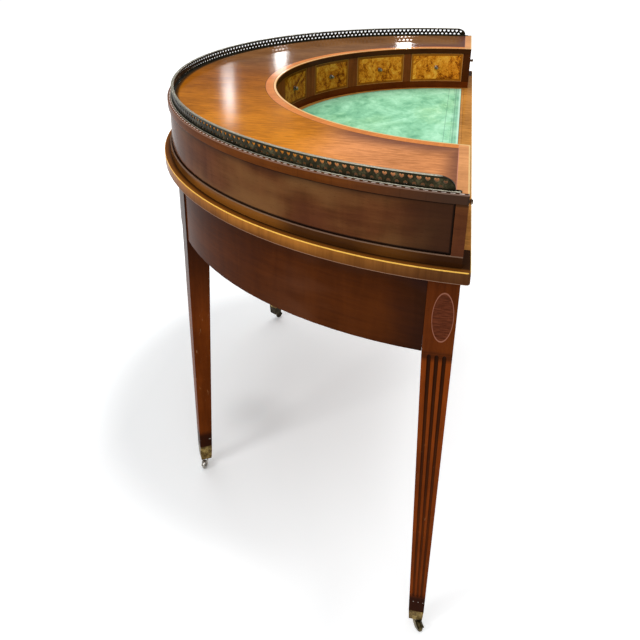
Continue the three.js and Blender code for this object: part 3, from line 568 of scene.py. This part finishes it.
def panel_wood():
    """The outer frame and its sunk panel: painted shadow under the top rail and by the end stiles, painted light on
    the bottom rail and a painted highlight on its arris.
    """
    g = Graph("panel_wood")
    radius, angle, z = g.polar()
    _, y, _ = g.place()
    colour, pores, tone = wood_layers(g, g.mul(angle, 0.65), z, radius, PANEL_BROWN, figure=0.8, seed=1)

    # Pale clouds of painted sheen, and darker clouds, lie on the sides, and less so round the back.
    cloud = g.noise(g.vector(g.mul(angle, 2.6), g.mul(z, 7.0), 2.0), detail=3, roughness=0.5)
    cloud_strength = g.remap(y, 0.22, -0.05, 0.3, 0.85)
    pale = g.mul(g.ease(cloud, 0.44, 0.62), cloud_strength)
    dark = g.mul(g.ease(cloud, 0.5, 0.36), g.mul(cloud_strength, 0.8))
    colour = g.mix(pale, colour, (0.21, 0.096, 0.032))
    colour = g.mix(dark, colour, (0.095, 0.026, 0.012))

    # Painted shade: the panel is darker at its top and its ends, and almost black in the corner where it meets the
    # frame.
    sunk = g.remap(radius, 0.6575, 0.6565)
    frame_only = g.other(sunk)
    painted_panel_shade = g.either(g.ease(z, 0.838, 0.856, 0, 0.6), g.ease(y, -0.19, -0.29, 0, 0.7))
    colour = g.mix(g.mul(painted_panel_shade, sunk), colour, (0.025, 0.012, 0.007))
    painted_corner_shade = g.either(g.band(z, 0.8515, 0.86, 0.002), g.band(z, 0.77, 0.7795, 0.002), g.band(y, -0.31, -0.303, 0.002))
    colour = g.mix(g.mul(g.mul(painted_corner_shade, sunk), 0.9), colour, (0.006, 0.003, 0.002))

    # The frame's bottom rail takes a painted golden light in clouds, and a painted highlight on its arris. Its head is
    # dark.
    rail = g.mul(g.band(z, 0.75, 0.7752, 0.001), frame_only)
    glow = g.mul(g.remap(cloud, 0.42, 0.6, 0.15, 0.85), g.remap(y, -0.3, -0.1, 0.3, 1))
    colour = g.mix(rail, colour, g.mix(glow, (0.03, 0.009, 0.003), (0.26, 0.09, 0.012)))
    painted_highlight = g.mul(g.band(z, 0.7752, 0.777, 0.0004), frame_only)
    colour = g.mix(g.mul(painted_highlight, 0.6), colour, (0.24, 0.16, 0.11))
    head = g.mul(g.remap(z, 0.8498, 0.852), frame_only)
    colour = g.mix(g.mul(head, 0.75), colour, (0.03, 0.012, 0.005))
    finish_wood(g, colour, pores, tone)
    return g.material


def leg_flutes(g, colour, front_leg, side_x):
    """Channels darkened with painted shade and fillets lightened with a painted highlight, on the outer and front
    faces of a front leg, which tapers downwards; painted shade also lies where the flutes end.
    """
    _, y, z = g.place()
    low, high = 0.083, 0.6065
    foot_width, foot_height, taper = 0.027, 0.048, 0.019 / 0.5595
    in_height = g.mul(front_leg, g.band(z, low, high))
    on_side = g.mul(in_height, g.remap(side_x, 0.6465, 0.6468))
    on_front = g.mul(in_height, g.band(y, -0.3237, -0.3212))
    width = g.add(foot_width, g.mul(g.sub(z, foot_height), taper))
    between_arrises = g.mul(g.remap(y, -0.3225, -0.3222), g.remap(g.sub(g.sub(y, width), -0.3255), 0.0, -0.0004))
    side_channel = g.mul(g.mul(on_side, between_arrises), g.remap(side_x, 0.6493, 0.6489))
    front_channel = g.mul(on_front, g.remap(side_x, 0.648, 0.6478))
    channel = g.either(side_channel, front_channel)
    fillets = g.mul(g.either(on_side, on_front), g.other(channel))
    # Painted highlight on the fillets, and painted shade in the channels.
    colour = g.mix(g.mul(fillets, 0.55), colour, g.tinted(colour, (1.5, 1.3, 1.1)))
    colour = g.mix(g.mul(channel, g.remap(z, 0.1, 0.6, 0.35, 0.9)), colour, (0.014, 0.004, 0.001))
    end_shade = g.mul(front_leg, g.band(z, 0.5955, 0.609, 0.008))
    return g.mix(g.mul(end_shade, 0.7), colour, (0.02, 0.006, 0.002))


def leg_oval(g, colour, front_leg, side_x):
    """The block of a front leg, with an oval of flamed veneer within a pale line on its two outer faces."""
    _, y, z = g.place()
    half_height, half_width = 0.0425, 0.016
    block = g.mul(front_leg, g.remap(z, 0.6065, 0.6075))
    colour = g.mix(g.mul(block, 0.5), colour, g.tinted(colour, (0.5, 0.5, 0.8)))
    up = g.math("DIVIDE", g.sub(z, 0.6708), half_height)
    across_side = g.math("DIVIDE", g.add(y, 0.3041), half_width)
    across_front = g.math("DIVIDE", g.sub(side_x, 0.6265), half_width)
    on_side = g.remap(side_x, 0.6485, 0.649)
    across = g.add(g.mul(across_side, on_side), g.mul(across_front, g.other(on_side)))
    from_centre = g.length(up, across)
    shown = g.mul(block, g.either(on_side, g.remap(y, -0.3232, -0.3236)))
    flame = g.noise(g.vector(g.mul(across, 1.1), g.mul(z, 520.0), g.mul(side_x, 9.0)), detail=4)
    colour = g.mix(g.mul(shown, g.remap(from_centre, 0.97, 0.94)), colour, g.ramp(flame, INLAY_RED))
    line = g.mul(shown, g.band(from_centre, 0.94, 0.995, 0.02))
    return g.mix(g.mul(line, 0.75), colour, (0.4, 0.16, 0.1))


def leg_wood():
    """Straight grain, with flutes and an oval inlay on the front legs, small knocks, a dark foot and brass pins."""
    g = Graph("leg_wood")
    x, y, z = g.place()
    side_x = g.math("ABSOLUTE", x)
    front_leg = g.remap(y, -0.26, -0.265)
    back_leg = g.other(front_leg)
    colour, pores, tone = wood_layers(g, z, x, y, LEG_RED, figure=0.35, seed=3)
    colour = leg_flutes(g, colour, front_leg, side_x)
    colour = leg_oval(g, colour, front_leg, side_x)

    # The foot darkens above the socket, which reaches higher on the back legs. Low knocks show the bare wood.
    foot = g.ease(g.sub(z, g.mul(back_leg, 0.016)), 0.098, 0.078, 0, 0.85)
    colour = g.mix(foot, colour, (0.012, 0.004, 0.003))
    knocks = g.remap(g.noise(g.vector(x, y, g.mul(z, 0.3)), scale=160, detail=3), 0.66, 0.72)
    knocks = g.mul(knocks, g.mul(g.band(z, 0.2, 0.42, 0.1), 0.35))
    colour = g.mix(knocks, colour, (0.5, 0.26, 0.12))
    over_row = g.sub(z, g.add(0.0712, g.mul(back_leg, 0.012)))
    row = g.mul(g.remap(over_row, 0.0, 0.0002), g.remap(over_row, 0.0017, 0.0019, 1, 0))
    pins = g.mul(row, g.band(g.math("FRACT", g.mul(g.add(x, y), 118.0)), 0.42, 0.6, 0.05))
    colour = g.mix(g.mul(pins, 0.9), colour, (0.5, 0.42, 0.36))
    patina = g.noise(g.vector(x, y, z), scale=60, detail=5, roughness=0.65)
    socket = g.mul(back_leg, g.remap(z, 0.0635, 0.0631))
    colour = g.mix(socket, colour, g.ramp(patina, WORN_BRASS))
    g.link(socket, "Metallic")

    # Painted shade: the back legs darken towards the top, where they stand in the table's shade.
    under = g.mul(g.ease(z, 0.38, 0.61, 0, 0.85), back_leg)
    colour = g.mix(under, colour, (0.02, 0.006, 0.003))
    finish_wood(g, colour, pores, tone)
    return g.material


def burr_front(name, seed, across, behind, heights, shade=1.0, knob=False):
    """A drawer: burr veneer on its front, a narrow crossband and a pale bead round that, and a plain box behind.

    across gives, from the graph, the distance inside the front's nearer side, and behind the distance behind its
    face. heights are those of its lower and upper edges. A knob is brass, ahead of the face.
    """
    g = Graph(name)
    x, y, z = g.place()
    low, high = heights
    where = g.vector(x, g.add(y, seed), z)
    swirl = g.noise(where, scale=27, detail=6, roughness=0.66, distortion=2.4)
    cloud = g.noise(where, scale=11, detail=3, distortion=1.5)
    fine = g.noise(where, scale=190, detail=4, distortion=1.2)
    veins = g.math("ABSOLUTE", g.sub(g.noise(where, scale=38, detail=4, roughness=0.6, distortion=3.0), 0.5))
    tone = g.add(g.add(g.mul(g.sub(swirl, 0.5), 1.9), g.mul(g.sub(fine, 0.5), 0.9)), g.mul(g.sub(cloud, 0.5), 1.0))
    tone = g.sub(g.add(tone, 0.66), g.remap(g.cells(where, 95), 0.0, 0.13, 0.35, 0.0))
    tone = g.sub(tone, g.remap(veins, 0.0, 0.04, 0.24, 0.0))

    # From the middle of the front outwards: burr, a dark line, the crossband, the bead and the edge.
    inside = g.math("MINIMUM", across(g), g.math("MINIMUM", g.sub(z, low), g.sub(high, z)))
    crossband, _, _ = wood_layers(g, z, x, y, DRAWER_BAND, figure=0.3, seed=seed)
    colour = g.mix(g.remap(inside, 0.0062, 0.0058), g.ramp(tone, BURR), crossband)
    colour = g.mix(g.mul(g.band(inside, 0.0056, 0.0064), 0.7), colour, (0.06, 0.02, 0.004))
    colour = g.mix(g.band(inside, 0.0, 0.0014), colour, (0.42, 0.17, 0.05))
    # Painted light and shade: the colour is scaled by shade, as the bank's ends stand in more light than its middle.
    colour = g.tinted(colour, (shade, shade ** 1.15, shade ** 1.3))
    colour = g.mix(g.other(g.band(inside, 0.0, 1.0)), colour, (0.2, 0.1, 0.035))
    lining, _, _ = wood_layers(g, x, y, z, DRAWER_LINING, figure=0.3, seed=seed)
    colour = g.mix(g.remap(behind(g), 0.0012, 0.0016), colour, lining)
    if knob:
        ahead = g.remap(y, FRIEZE_FACE_Y + 0.0001, FRIEZE_FACE_Y - 0.0004)
        colour = g.mix(ahead, colour, g.ramp(cloud, WORN_BRASS))
        g.link(ahead, "Metallic")
    finish_wood(g, colour, g.remap(fine, 0.62, 0.8), tone)
    return g.material


def beside_axis(degrees, half):
    """The distance inside the nearer side of a bank drawer that slides along the given angle."""
    cos, sin = math.cos(math.radians(degrees)), math.sin(math.radians(degrees))

    def across(g):
        x, y, _ = g.place()
        offset = g.sub(g.mul(x, sin), g.mul(g.sub(y, CENTRE_Y), cos))
        return g.sub(half, g.math("ABSOLUTE", offset))
    return across


def between_x(first, second):
    """The distance inside the nearer side of a drawer that slides straight forwards."""
    left, right = sorted((first, second))

    def across(g):
        x, _, _ = g.place()
        return g.math("MINIMUM", g.sub(x, left), g.sub(right, x))
    return across


def behind_ring(radius):
    return lambda g: g.sub(g.polar()[0], radius)


def behind_plane(face):
    return lambda g: g.sub(g.place()[1], face)


def drawer_materials():
    """One material for each drawer, by its node's name, so that no two fronts have the same figure."""
    made = {}
    for i in range(8):
        degrees, half, shade = BANK_DRAWERS[min(i, 7 - i)]
        across = beside_axis(degrees if i < 4 else 180 - degrees, half)
        made[f"bank_drawer_{i + 1}"] = burr_front(f"bank_burr_{i + 1}", 0.4 + 0.83 * i, across,
                                                  behind_ring(BANK_FACE_RADIUS), UPPER_FRONTS, shade)
    for side, name in ((1, "right"), (-1, "left")):
        across = between_x(*(side * x for x in PIER_DRAWER_X))
        made[f"pier_drawer_{name}"] = burr_front(f"pier_burr_{name}", 2.9 + side, across,
                                                 behind_plane(PIER_FACE_Y), UPPER_FRONTS)
    for name, seed, ends in (("right", 6.7, SIDE_DRAWER_X), ("left", 4.7, [-x for x in SIDE_DRAWER_X]),
                             ("middle", 7.9, (-MIDDLE_DRAWER_X, MIDDLE_DRAWER_X))):
        made[f"frieze_drawer_{name}"] = burr_front(f"frieze_burr_{name}", seed, between_x(*ends),
                                                   behind_plane(FRIEZE_FACE_Y), FRIEZE_FRONTS, knob=True)
    return made


def metal_layers(g):
    """A cloudy patina and small spots."""
    where = g.vector(*g.place())
    return g.noise(where, scale=60, detail=5, roughness=0.65), g.noise(where, scale=420, detail=3)


def finish_metal(g, colour, patina, spots, dull, bright):
    """dull and bright are the roughness where the patina is thick and where it has gone."""
    g.link(colour, "Base Color")
    g.set("Metallic", 1.0)
    g.link(g.remap(patina, 0.3, 0.7, dull, bright), "Roughness")
    g.bump(spots, 0.12, 0.0004)


def brass(name, stops, roughness=0.3):
    g = Graph(name)
    patina, spots = metal_layers(g)
    colour = g.ramp(g.add(g.mul(patina, 0.75), g.mul(spots, 0.25)), stops)
    finish_metal(g, colour, patina, spots, roughness + 0.12, roughness - 0.06)
    return g.material


def gallery_brass():
    """Dark green-brown patina, with painted highlights along the strip's lip and the top of the rail."""
    g = Graph("gallery_brass")
    radius, _, z = g.polar()
    patina, spots = metal_layers(g)
    colour = g.ramp(g.add(g.mul(patina, 0.7), g.mul(spots, 0.3)), GREEN_BRASS)
    colour = g.mix(g.mul(g.band(z, 0.8858, 0.8878), 0.6), colour, (0.01, 0.009, 0.006))
    # Painted highlights along the strip's lip and the rail's top.
    lip = g.mul(g.band(radius, 0.6511, 0.66), g.band(z, 0.8688, 0.8698))
    rail = g.mul(g.band(radius, 0.64, 0.66), g.band(z, 0.8883, 0.8895))
    painted_highlight = g.mul(g.either(g.mul(lip, 0.85), g.mul(rail, 0.45)), g.remap(spots, 0.3, 0.7, 0.7, 1.0))
    colour = g.mix(painted_highlight, colour, (0.75, 0.7, 0.55))
    finish_metal(g, colour, patina, spots, 0.5, 0.36)
    return g.material


def leather():
    """The tooled leather, with the edge of the wooden border that lies over it at the front."""
    g = Graph("green_leather")
    x, y, z = g.place()
    radius, _, _ = g.polar()
    where = g.vector(g.mul(x, 0.6), g.mul(y, 0.9), z)
    cloud = g.noise(where, scale=9, detail=6, roughness=0.62, distortion=1.2)
    mottle = g.noise(where, scale=55, detail=5, roughness=0.65, distortion=0.6)
    tone = g.add(g.mul(cloud, 0.62), g.mul(mottle, 0.38))
    colour = g.ramp(g.remap(tone, 0.36, 0.64), LEATHER_GREEN)
    yellow = g.remap(g.noise(where, scale=6, detail=4), 0.5, 0.66, 0, 0.5)
    colour = g.mix(yellow, colour, g.tinted(colour, (1.22, 1.02, 0.78)))

    # Its front margin is duller, and rubbed pale against the wood.
    colour = g.mix(g.mul(g.remap(y, -0.2885, -0.3065), 0.35), colour, (0.2, 0.42, 0.36))
    colour = g.mix(g.mul(g.band(y, -0.3065, -0.302), 0.6), colour, (0.62, 0.88, 0.7))

    # Tooled lines: one behind and one round the curve, and a border of two thin ones with a broad one between.
    border = g.either(g.band(y, -0.2985, -0.2979), g.mul(g.band(y, -0.2955, -0.2915, 0.001), 0.6),
                      g.band(y, -0.289, -0.2884))
    lines = g.either(g.band(y, -0.2748, -0.274), g.band(radius, 0.4142, 0.4148), g.mul(border, 0.8))
    colour = g.mix(g.mul(lines, 0.7), colour, (0.05, 0.13, 0.1))
    colour = g.mix(g.ease(radius, 0.417, 0.4245, 0, 0.55), colour, (0.05, 0.2, 0.13))

    wooden = g.remap(y, -0.3063, -0.3067)
    wood_tone, _ = mottled_wood(g, y, x, seed=2)
    colour = g.mix(wooden, colour, g.ramp(wood_tone, LEDGE_GOLD))
    colour = g.mix(g.band(y, -0.3069, -0.3061), colour, STRING_DARK)
    grain = g.mul(g.mul(g.cells(where, 900), 0.5), g.other(wooden))
    g.link(colour, "Base Color")
    g.link(g.remap(mottle, 0.3, 0.7, 0.42, 0.58), "Roughness")
    g.set("Specular IOR Level", 0.1)
    g.bump(g.sub(grain, g.mul(lines, 1.5)), 0.25, 0.0004)
    return g.material


def soften(node, width, angle=30):
    """Rounds a node's arrises with modifiers, and shades its curves smooth. Its vertices stay as they are."""
    mesh = node.data
    for name in ("custom_normal", "sharp_face", "sharp_edge"):
        if name in mesh.attributes:
            mesh.attributes.remove(mesh.attributes[name])
    mesh.polygons.foreach_set("use_smooth", [True] * len(mesh.polygons))
    weld = node.modifiers.new("weld", "WELD")
    weld.merge_threshold = 0.00002
    bevel = node.modifiers.new("bevel", "BEVEL")
    bevel.width = width
    bevel.segments = 2
    bevel.limit_method = "ANGLE"
    bevel.angle_limit = math.radians(angle)
    bevel.miter_outer = "MITER_ARC"
    normals = node.modifiers.new("normals", "WEIGHTED_NORMAL")
    normals.keep_sharp = False
    normals.weight = 80


# ---- gallery ----------------------------------------------------------------

def on_ring(radius, angle, z):
    return (radius * math.cos(angle), CENTRE_Y + radius * math.sin(angle), z)


def tube_walls(first, rings, count):
    """The side faces between rings of count vertices each, the first of which is number first."""
    return [(first + ring * count + k, first + ring * count + (k + 1) % count,
             first + (ring + 1) * count + (k + 1) % count, first + (ring + 1) * count + k)
            for ring in range(rings - 1) for k in range(count)]


def swept(sections, cap=True):
    """Vertices and faces of a solid through sections, which are rings of as many points each."""
    count = len(sections[0])
    last = (len(sections) - 1) * count
    vertices = [point for section in sections for point in section]
    faces = tube_walls(0, len(sections), count)
    if cap:
        faces += [tuple(range(count))[::-1], tuple(range(last, last + count))]
    return vertices, faces


def lathe_arc(profile, start, cap=True):
    """A profile of (radius, z) points swept along the half ring, from angle start to the same from its other end."""
    end = math.pi - start
    angles = [start + (end - start) * step / RING_STEPS for step in range(RING_STEPS + 1)]
    return swept([[on_ring(radius, angle, z) for radius, z in profile] for angle in angles], cap)


def rounded_profile(width, low, high, roundness, steps=4):
    """The corners of a box section about the gallery's radius, its two upper corners rounded."""
    half = width / 2
    points = [(GALLERY_RADIUS - half, low), (GALLERY_RADIUS + half, low)]
    for side in (1, -1):
        for i in range(steps + 1):
            a = math.pi / 2 * i / steps + (0 if side > 0 else math.pi / 2)
            points.append((GALLERY_RADIUS + side * (half - roundness) + roundness * math.cos(a),
                           high - roundness + roundness * math.sin(a)))
    return points


def heart_outline(top, size=1.0):
    """A small heart, its point down and its lobes just under the rail."""
    half, height = HEART_WIDTH * size / 2, HEART_HEIGHT * size
    right = [(0.0, top - height * 0.27), (half * 0.16, top - height * 0.1), (half * 0.46, top),
             (half * 0.8, top - height * 0.07), (half, top - height * 0.3), (half * 0.86, top - height * 0.52),
             (half * 0.45, top - height * 0.8), (0.0, top - height)]
    left = [(-x, z) for x, z in right[1:-1]][::-1]
    return right + left


def dome_half():
    """Half of a pierced dome with a cusp in its foot, from the middle of its foot up to its crown."""
    low, high = DOME_HEIGHTS
    half, height = DOME_WIDTH / 2, high - low
    return [(0.0, low + height * 0.24), (half * 0.45, low), (half * 0.85, low + height * 0.08),
            (half, low + height * 0.34), (half * 0.82, low + height * 0.62), (half * 0.42, low + height * 0.86),
            (0.0, high)]


def pierced_plate(loops, place, walls):
    """A thin plate: loops are its outline and its holes, place gives a point at a radius, and walls its side faces."""
    flat = [point for loop in loops for point in loop]
    count = len(flat)
    vertices = [place(radius, *point)
                for radius in (GALLERY_RADIUS + HALF_BAND, GALLERY_RADIUS - HALF_BAND) for point in flat]
    faces = []
    for a, b, c in tessellate_polygon([[Vector((*point, 0)) for point in loop] for loop in loops]):
        faces += [(a, b, c), (count + c, count + b, count + a)]
    faces += [(a, b, count + b, count + a) for a, b in walls]
    return vertices, faces


def loop_sides(loops):
    """Each side of each loop, as the numbers of its two points."""
    sides, first = [], 0
    for loop in loops:
        sides += [(first + i, first + (i + 1) % len(loop)) for i in range(len(loop))]
        first += len(loop)
    return sides


def gallery_band():
    """The pierced band: in each cell a heart, and half a dome at either side."""
    half = PATTERN_PITCH * GALLERY_RADIUS / 2
    dome = dome_half()
    right = [(half - x, z) for x, z in dome]
    left = [(x - half, z) for x, z in dome][::-1]
    outline = [(-half, BAND_LOW), (half, BAND_LOW)] + right + [(half, BAND_HIGH), (-half, BAND_HIGH)] + left
    outline = [point for i, point in enumerate(outline) if point != outline[i - 1]]
    loops = (outline, heart_outline(HEART_TOP))
    flat = [point for loop in loops for point in loop]

    def between_cells(a, b):
        (x1, _), (x2, _) = flat[a], flat[b]
        return abs(abs(x1) - half) < 1e-7 and abs(x1 - x2) < 1e-7

    walls = [(a, b) for a, b in loop_sides(loops) if not between_cells(a, b)]
    cells = []
    for index in range(CELLS):
        middle = PATTERN_START + (index + 0.5) * PATTERN_PITCH
        cells.append(pierced_plate(
            loops, lambda radius, x, z: on_ring(radius, middle + x / GALLERY_RADIUS, z), walls))
    return merge_parts(cells)


def gallery_end(side):
    """The rail's swept end, and the plate under it with the last two hearts of the row and a dome."""
    steps, fullness, thickness, sink = 16, 0.8, 0.0026, 0.0003
    quarter = [math.pi / 2 * i / steps for i in range(steps + 1)]
    height = GALLERY_TOP - STRIP_TOP
    outer = [(BAND_FRONT + SWEEP - SWEEP * math.cos(a), STRIP_TOP + height * math.sin(a) ** fullness)
             for a in quarter]
    inner = [(BAND_FRONT + SWEEP - (SWEEP - thickness) * math.cos(a),
              STRIP_TOP - sink + (height - thickness + sink) * math.sin(a) ** fullness) for a in quarter]

    def at(radius, distance, z):
        x, y, z = on_ring(radius, math.asin(distance / GALLERY_RADIUS), z)
        return (side * x, y, z)

    # The rail's section narrows towards its outside.
    wide, narrow = RAIL_WIDTH / 2, 0.0019
    sections = []
    for (d1, z1), (d2, z2) in zip(outer, inner):
        dm, zm = d1 * 0.6 + d2 * 0.4, z1 * 0.6 + z2 * 0.4
        sections.append([at(GALLERY_RADIUS + offset, d, z) for offset, d, z in (
            (-wide, d2, z2), (wide, d2, z2), (wide, dm, zm), (narrow, d1, z1), (-narrow, d1, z1), (-wide, dm, zm))])

    # The plate meets the band's first cell along end, where half of that cell's dome is cut.
    end = GALLERY_RADIUS * math.sin(PATTERN_START)
    dome = dome_half()
    seam = [(end - x, z) for x, z in dome][::-1]
    loops = [inner + [(end, BAND_HIGH)] + seam + [(end, BAND_LOW)]]
    for place, size, drop in ((0.5, 1.0, 0.0), (1.5, 0.82, 0.0024)):
        middle = GALLERY_RADIUS * math.sin(PATTERN_START - place * PATTERN_PITCH)
        loops.append([(middle + x, z) for x, z in heart_outline(HEART_TOP - drop, size)])
    middle = GALLERY_RADIUS * math.sin(PATTERN_START - PATTERN_PITCH)
    loops.append([(middle + x, z) for x, z in dome] + [(middle - x, z) for x, z in dome[1:-1]][::-1])
    vertices, faces = merge_parts([swept(sections), pierced_plate(loops, at, loop_sides(loops))])
    if side < 0:
        faces = [face[::-1] for face in faces]
    return vertices, faces


def strip_toe(side, angle):
    """The base strip's round end, closed at its top."""
    count = 20
    x, y, _ = on_ring(GALLERY_RADIUS, angle, 0)
    rings = ((0.0045, GALLERY_FOOT), (0.0045, STRIP_TOP - 0.0007), (0.0043, STRIP_TOP - 0.0002), (0.0038, STRIP_TOP))
    vertices = [(side * x, y, STRIP_TOP)]
    for radius, z in rings:
        vertices += circle(side * x, y, radius, z, count)
    last = 1 + (len(rings) - 1) * count
    faces = tube_walls(1, len(rings), count)
    faces += [(0, last + k, last + (k + 1) % count) for k in range(count)]
    return vertices, faces


def merge_parts(parts):
    vertices, faces = [], []
    for part_vertices, part_faces in parts:
        base = len(vertices)
        vertices += part_vertices
        faces += [tuple(base + i for i in face) for face in part_faces]
    return vertices, faces


def build_gallery(material):
    band_start = math.asin((BAND_FRONT + SWEEP) / GALLERY_RADIUS)
    strip_start = math.asin((STRIP_FRONT + STRIP_WIDTH / 2) / GALLERY_RADIUS)
    rail = lathe_arc(rounded_profile(RAIL_WIDTH, RAIL_BOTTOM, GALLERY_TOP, 0.0012), band_start)
    strip = lathe_arc(rounded_profile(STRIP_WIDTH, GALLERY_FOOT, STRIP_TOP, 0.0007, 3), strip_start, cap=False)
    vertices, faces = merge_parts([gallery_band(), rail, strip, gallery_end(1), gallery_end(-1),
                                   strip_toe(1, strip_start), strip_toe(-1, strip_start)])
    mesh = bpy.data.meshes.new("pierced_gallery")
    mesh.from_pydata(vertices, [], faces)
    mesh.validate()
    mesh.materials.append(material)
    mesh.polygons.foreach_set("use_smooth", [False] * len(mesh.polygons))
    piece = add_object("pierced_gallery", mesh)
    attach(piece, "root")
    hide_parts("gallery")


# ---- what the nodes wear ----------------------------------------------------

def node_materials():
    """Pairs of the start of a node's name and its material. The first pair that fits counts."""
    aged = brass("aged_brass", AGED_BRASS, roughness=0.36)
    worn = brass("worn_brass", WORN_BRASS, roughness=0.42)
    dim = brass("dark_brass", DARK_BRASS)
    knob = brass("knob_brass", KNOB_BRASS, roughness=0.26)
    steel = brass("worn_steel", WORN_STEEL)
    leg = leg_wood()
    return (
        ("table_top", table_wood()),
        ("writing_leather", leather()),
        ("superstructure_top", top_wood()),
        ("superstructure_base", base_wood()),
        ("outer_", panel_wood()),
        ("frieze_", apron_wood()),
        ("bank_divider", straight_wood("stile_wood", STILE_BROWN, "z", figure=0.4, seed=15)),
        ("end_divider", straight_wood("post_wood", POST_BROWN, "z", figure=0.4, seed=16)),
        ("front_frame", straight_wood("frame_wood", MAHOGANY_RED, "x", seed=8)),
        ("runner_frame", straight_wood("runner_wood", CROSSBAND, "y", seed=11, roughness=0.6, coat=0.0)),
        ("front_leg", leg),
        ("back_leg", leg),
        ("bank_knob", knob),
        ("pier_knob", knob),
        ("gallery", aged),
        ("socket_back_right", dim),
        ("fork_back_right", dim),
        ("wheel_back_right", dim),
        ("fork_back_left", steel),
        ("wheel_back_left", steel),
        ("socket_", worn),
        ("fork_", aged),
        ("wheel_", aged),
    )


def dress_nodes():
    drawers = drawer_materials()
    by_prefix = node_materials()
    for name, node in NODES.items():
        material = drawers.get(name) or next(made for prefix, made in by_prefix if name.startswith(prefix))
        node.data.materials.clear()
        node.data.materials.append(material)
        if name.startswith(("bank_knob", "pier_knob", "wheel_", "fork_")):
            soften(node, 0.0002, 50)
        elif name.startswith(("frieze_drawer", "socket")):
            soften(node, 0.0006, 50)
        else:
            soften(node, 0.0008)


def main():
    bpy.context.scene.view_settings.view_transform = "Standard"
    make_camera()
    make_world()
    make_floor()
    for lamp in LAMPS:
        add_lamp(*lamp)
    dress_nodes()
    build_gallery(gallery_brass())


main()
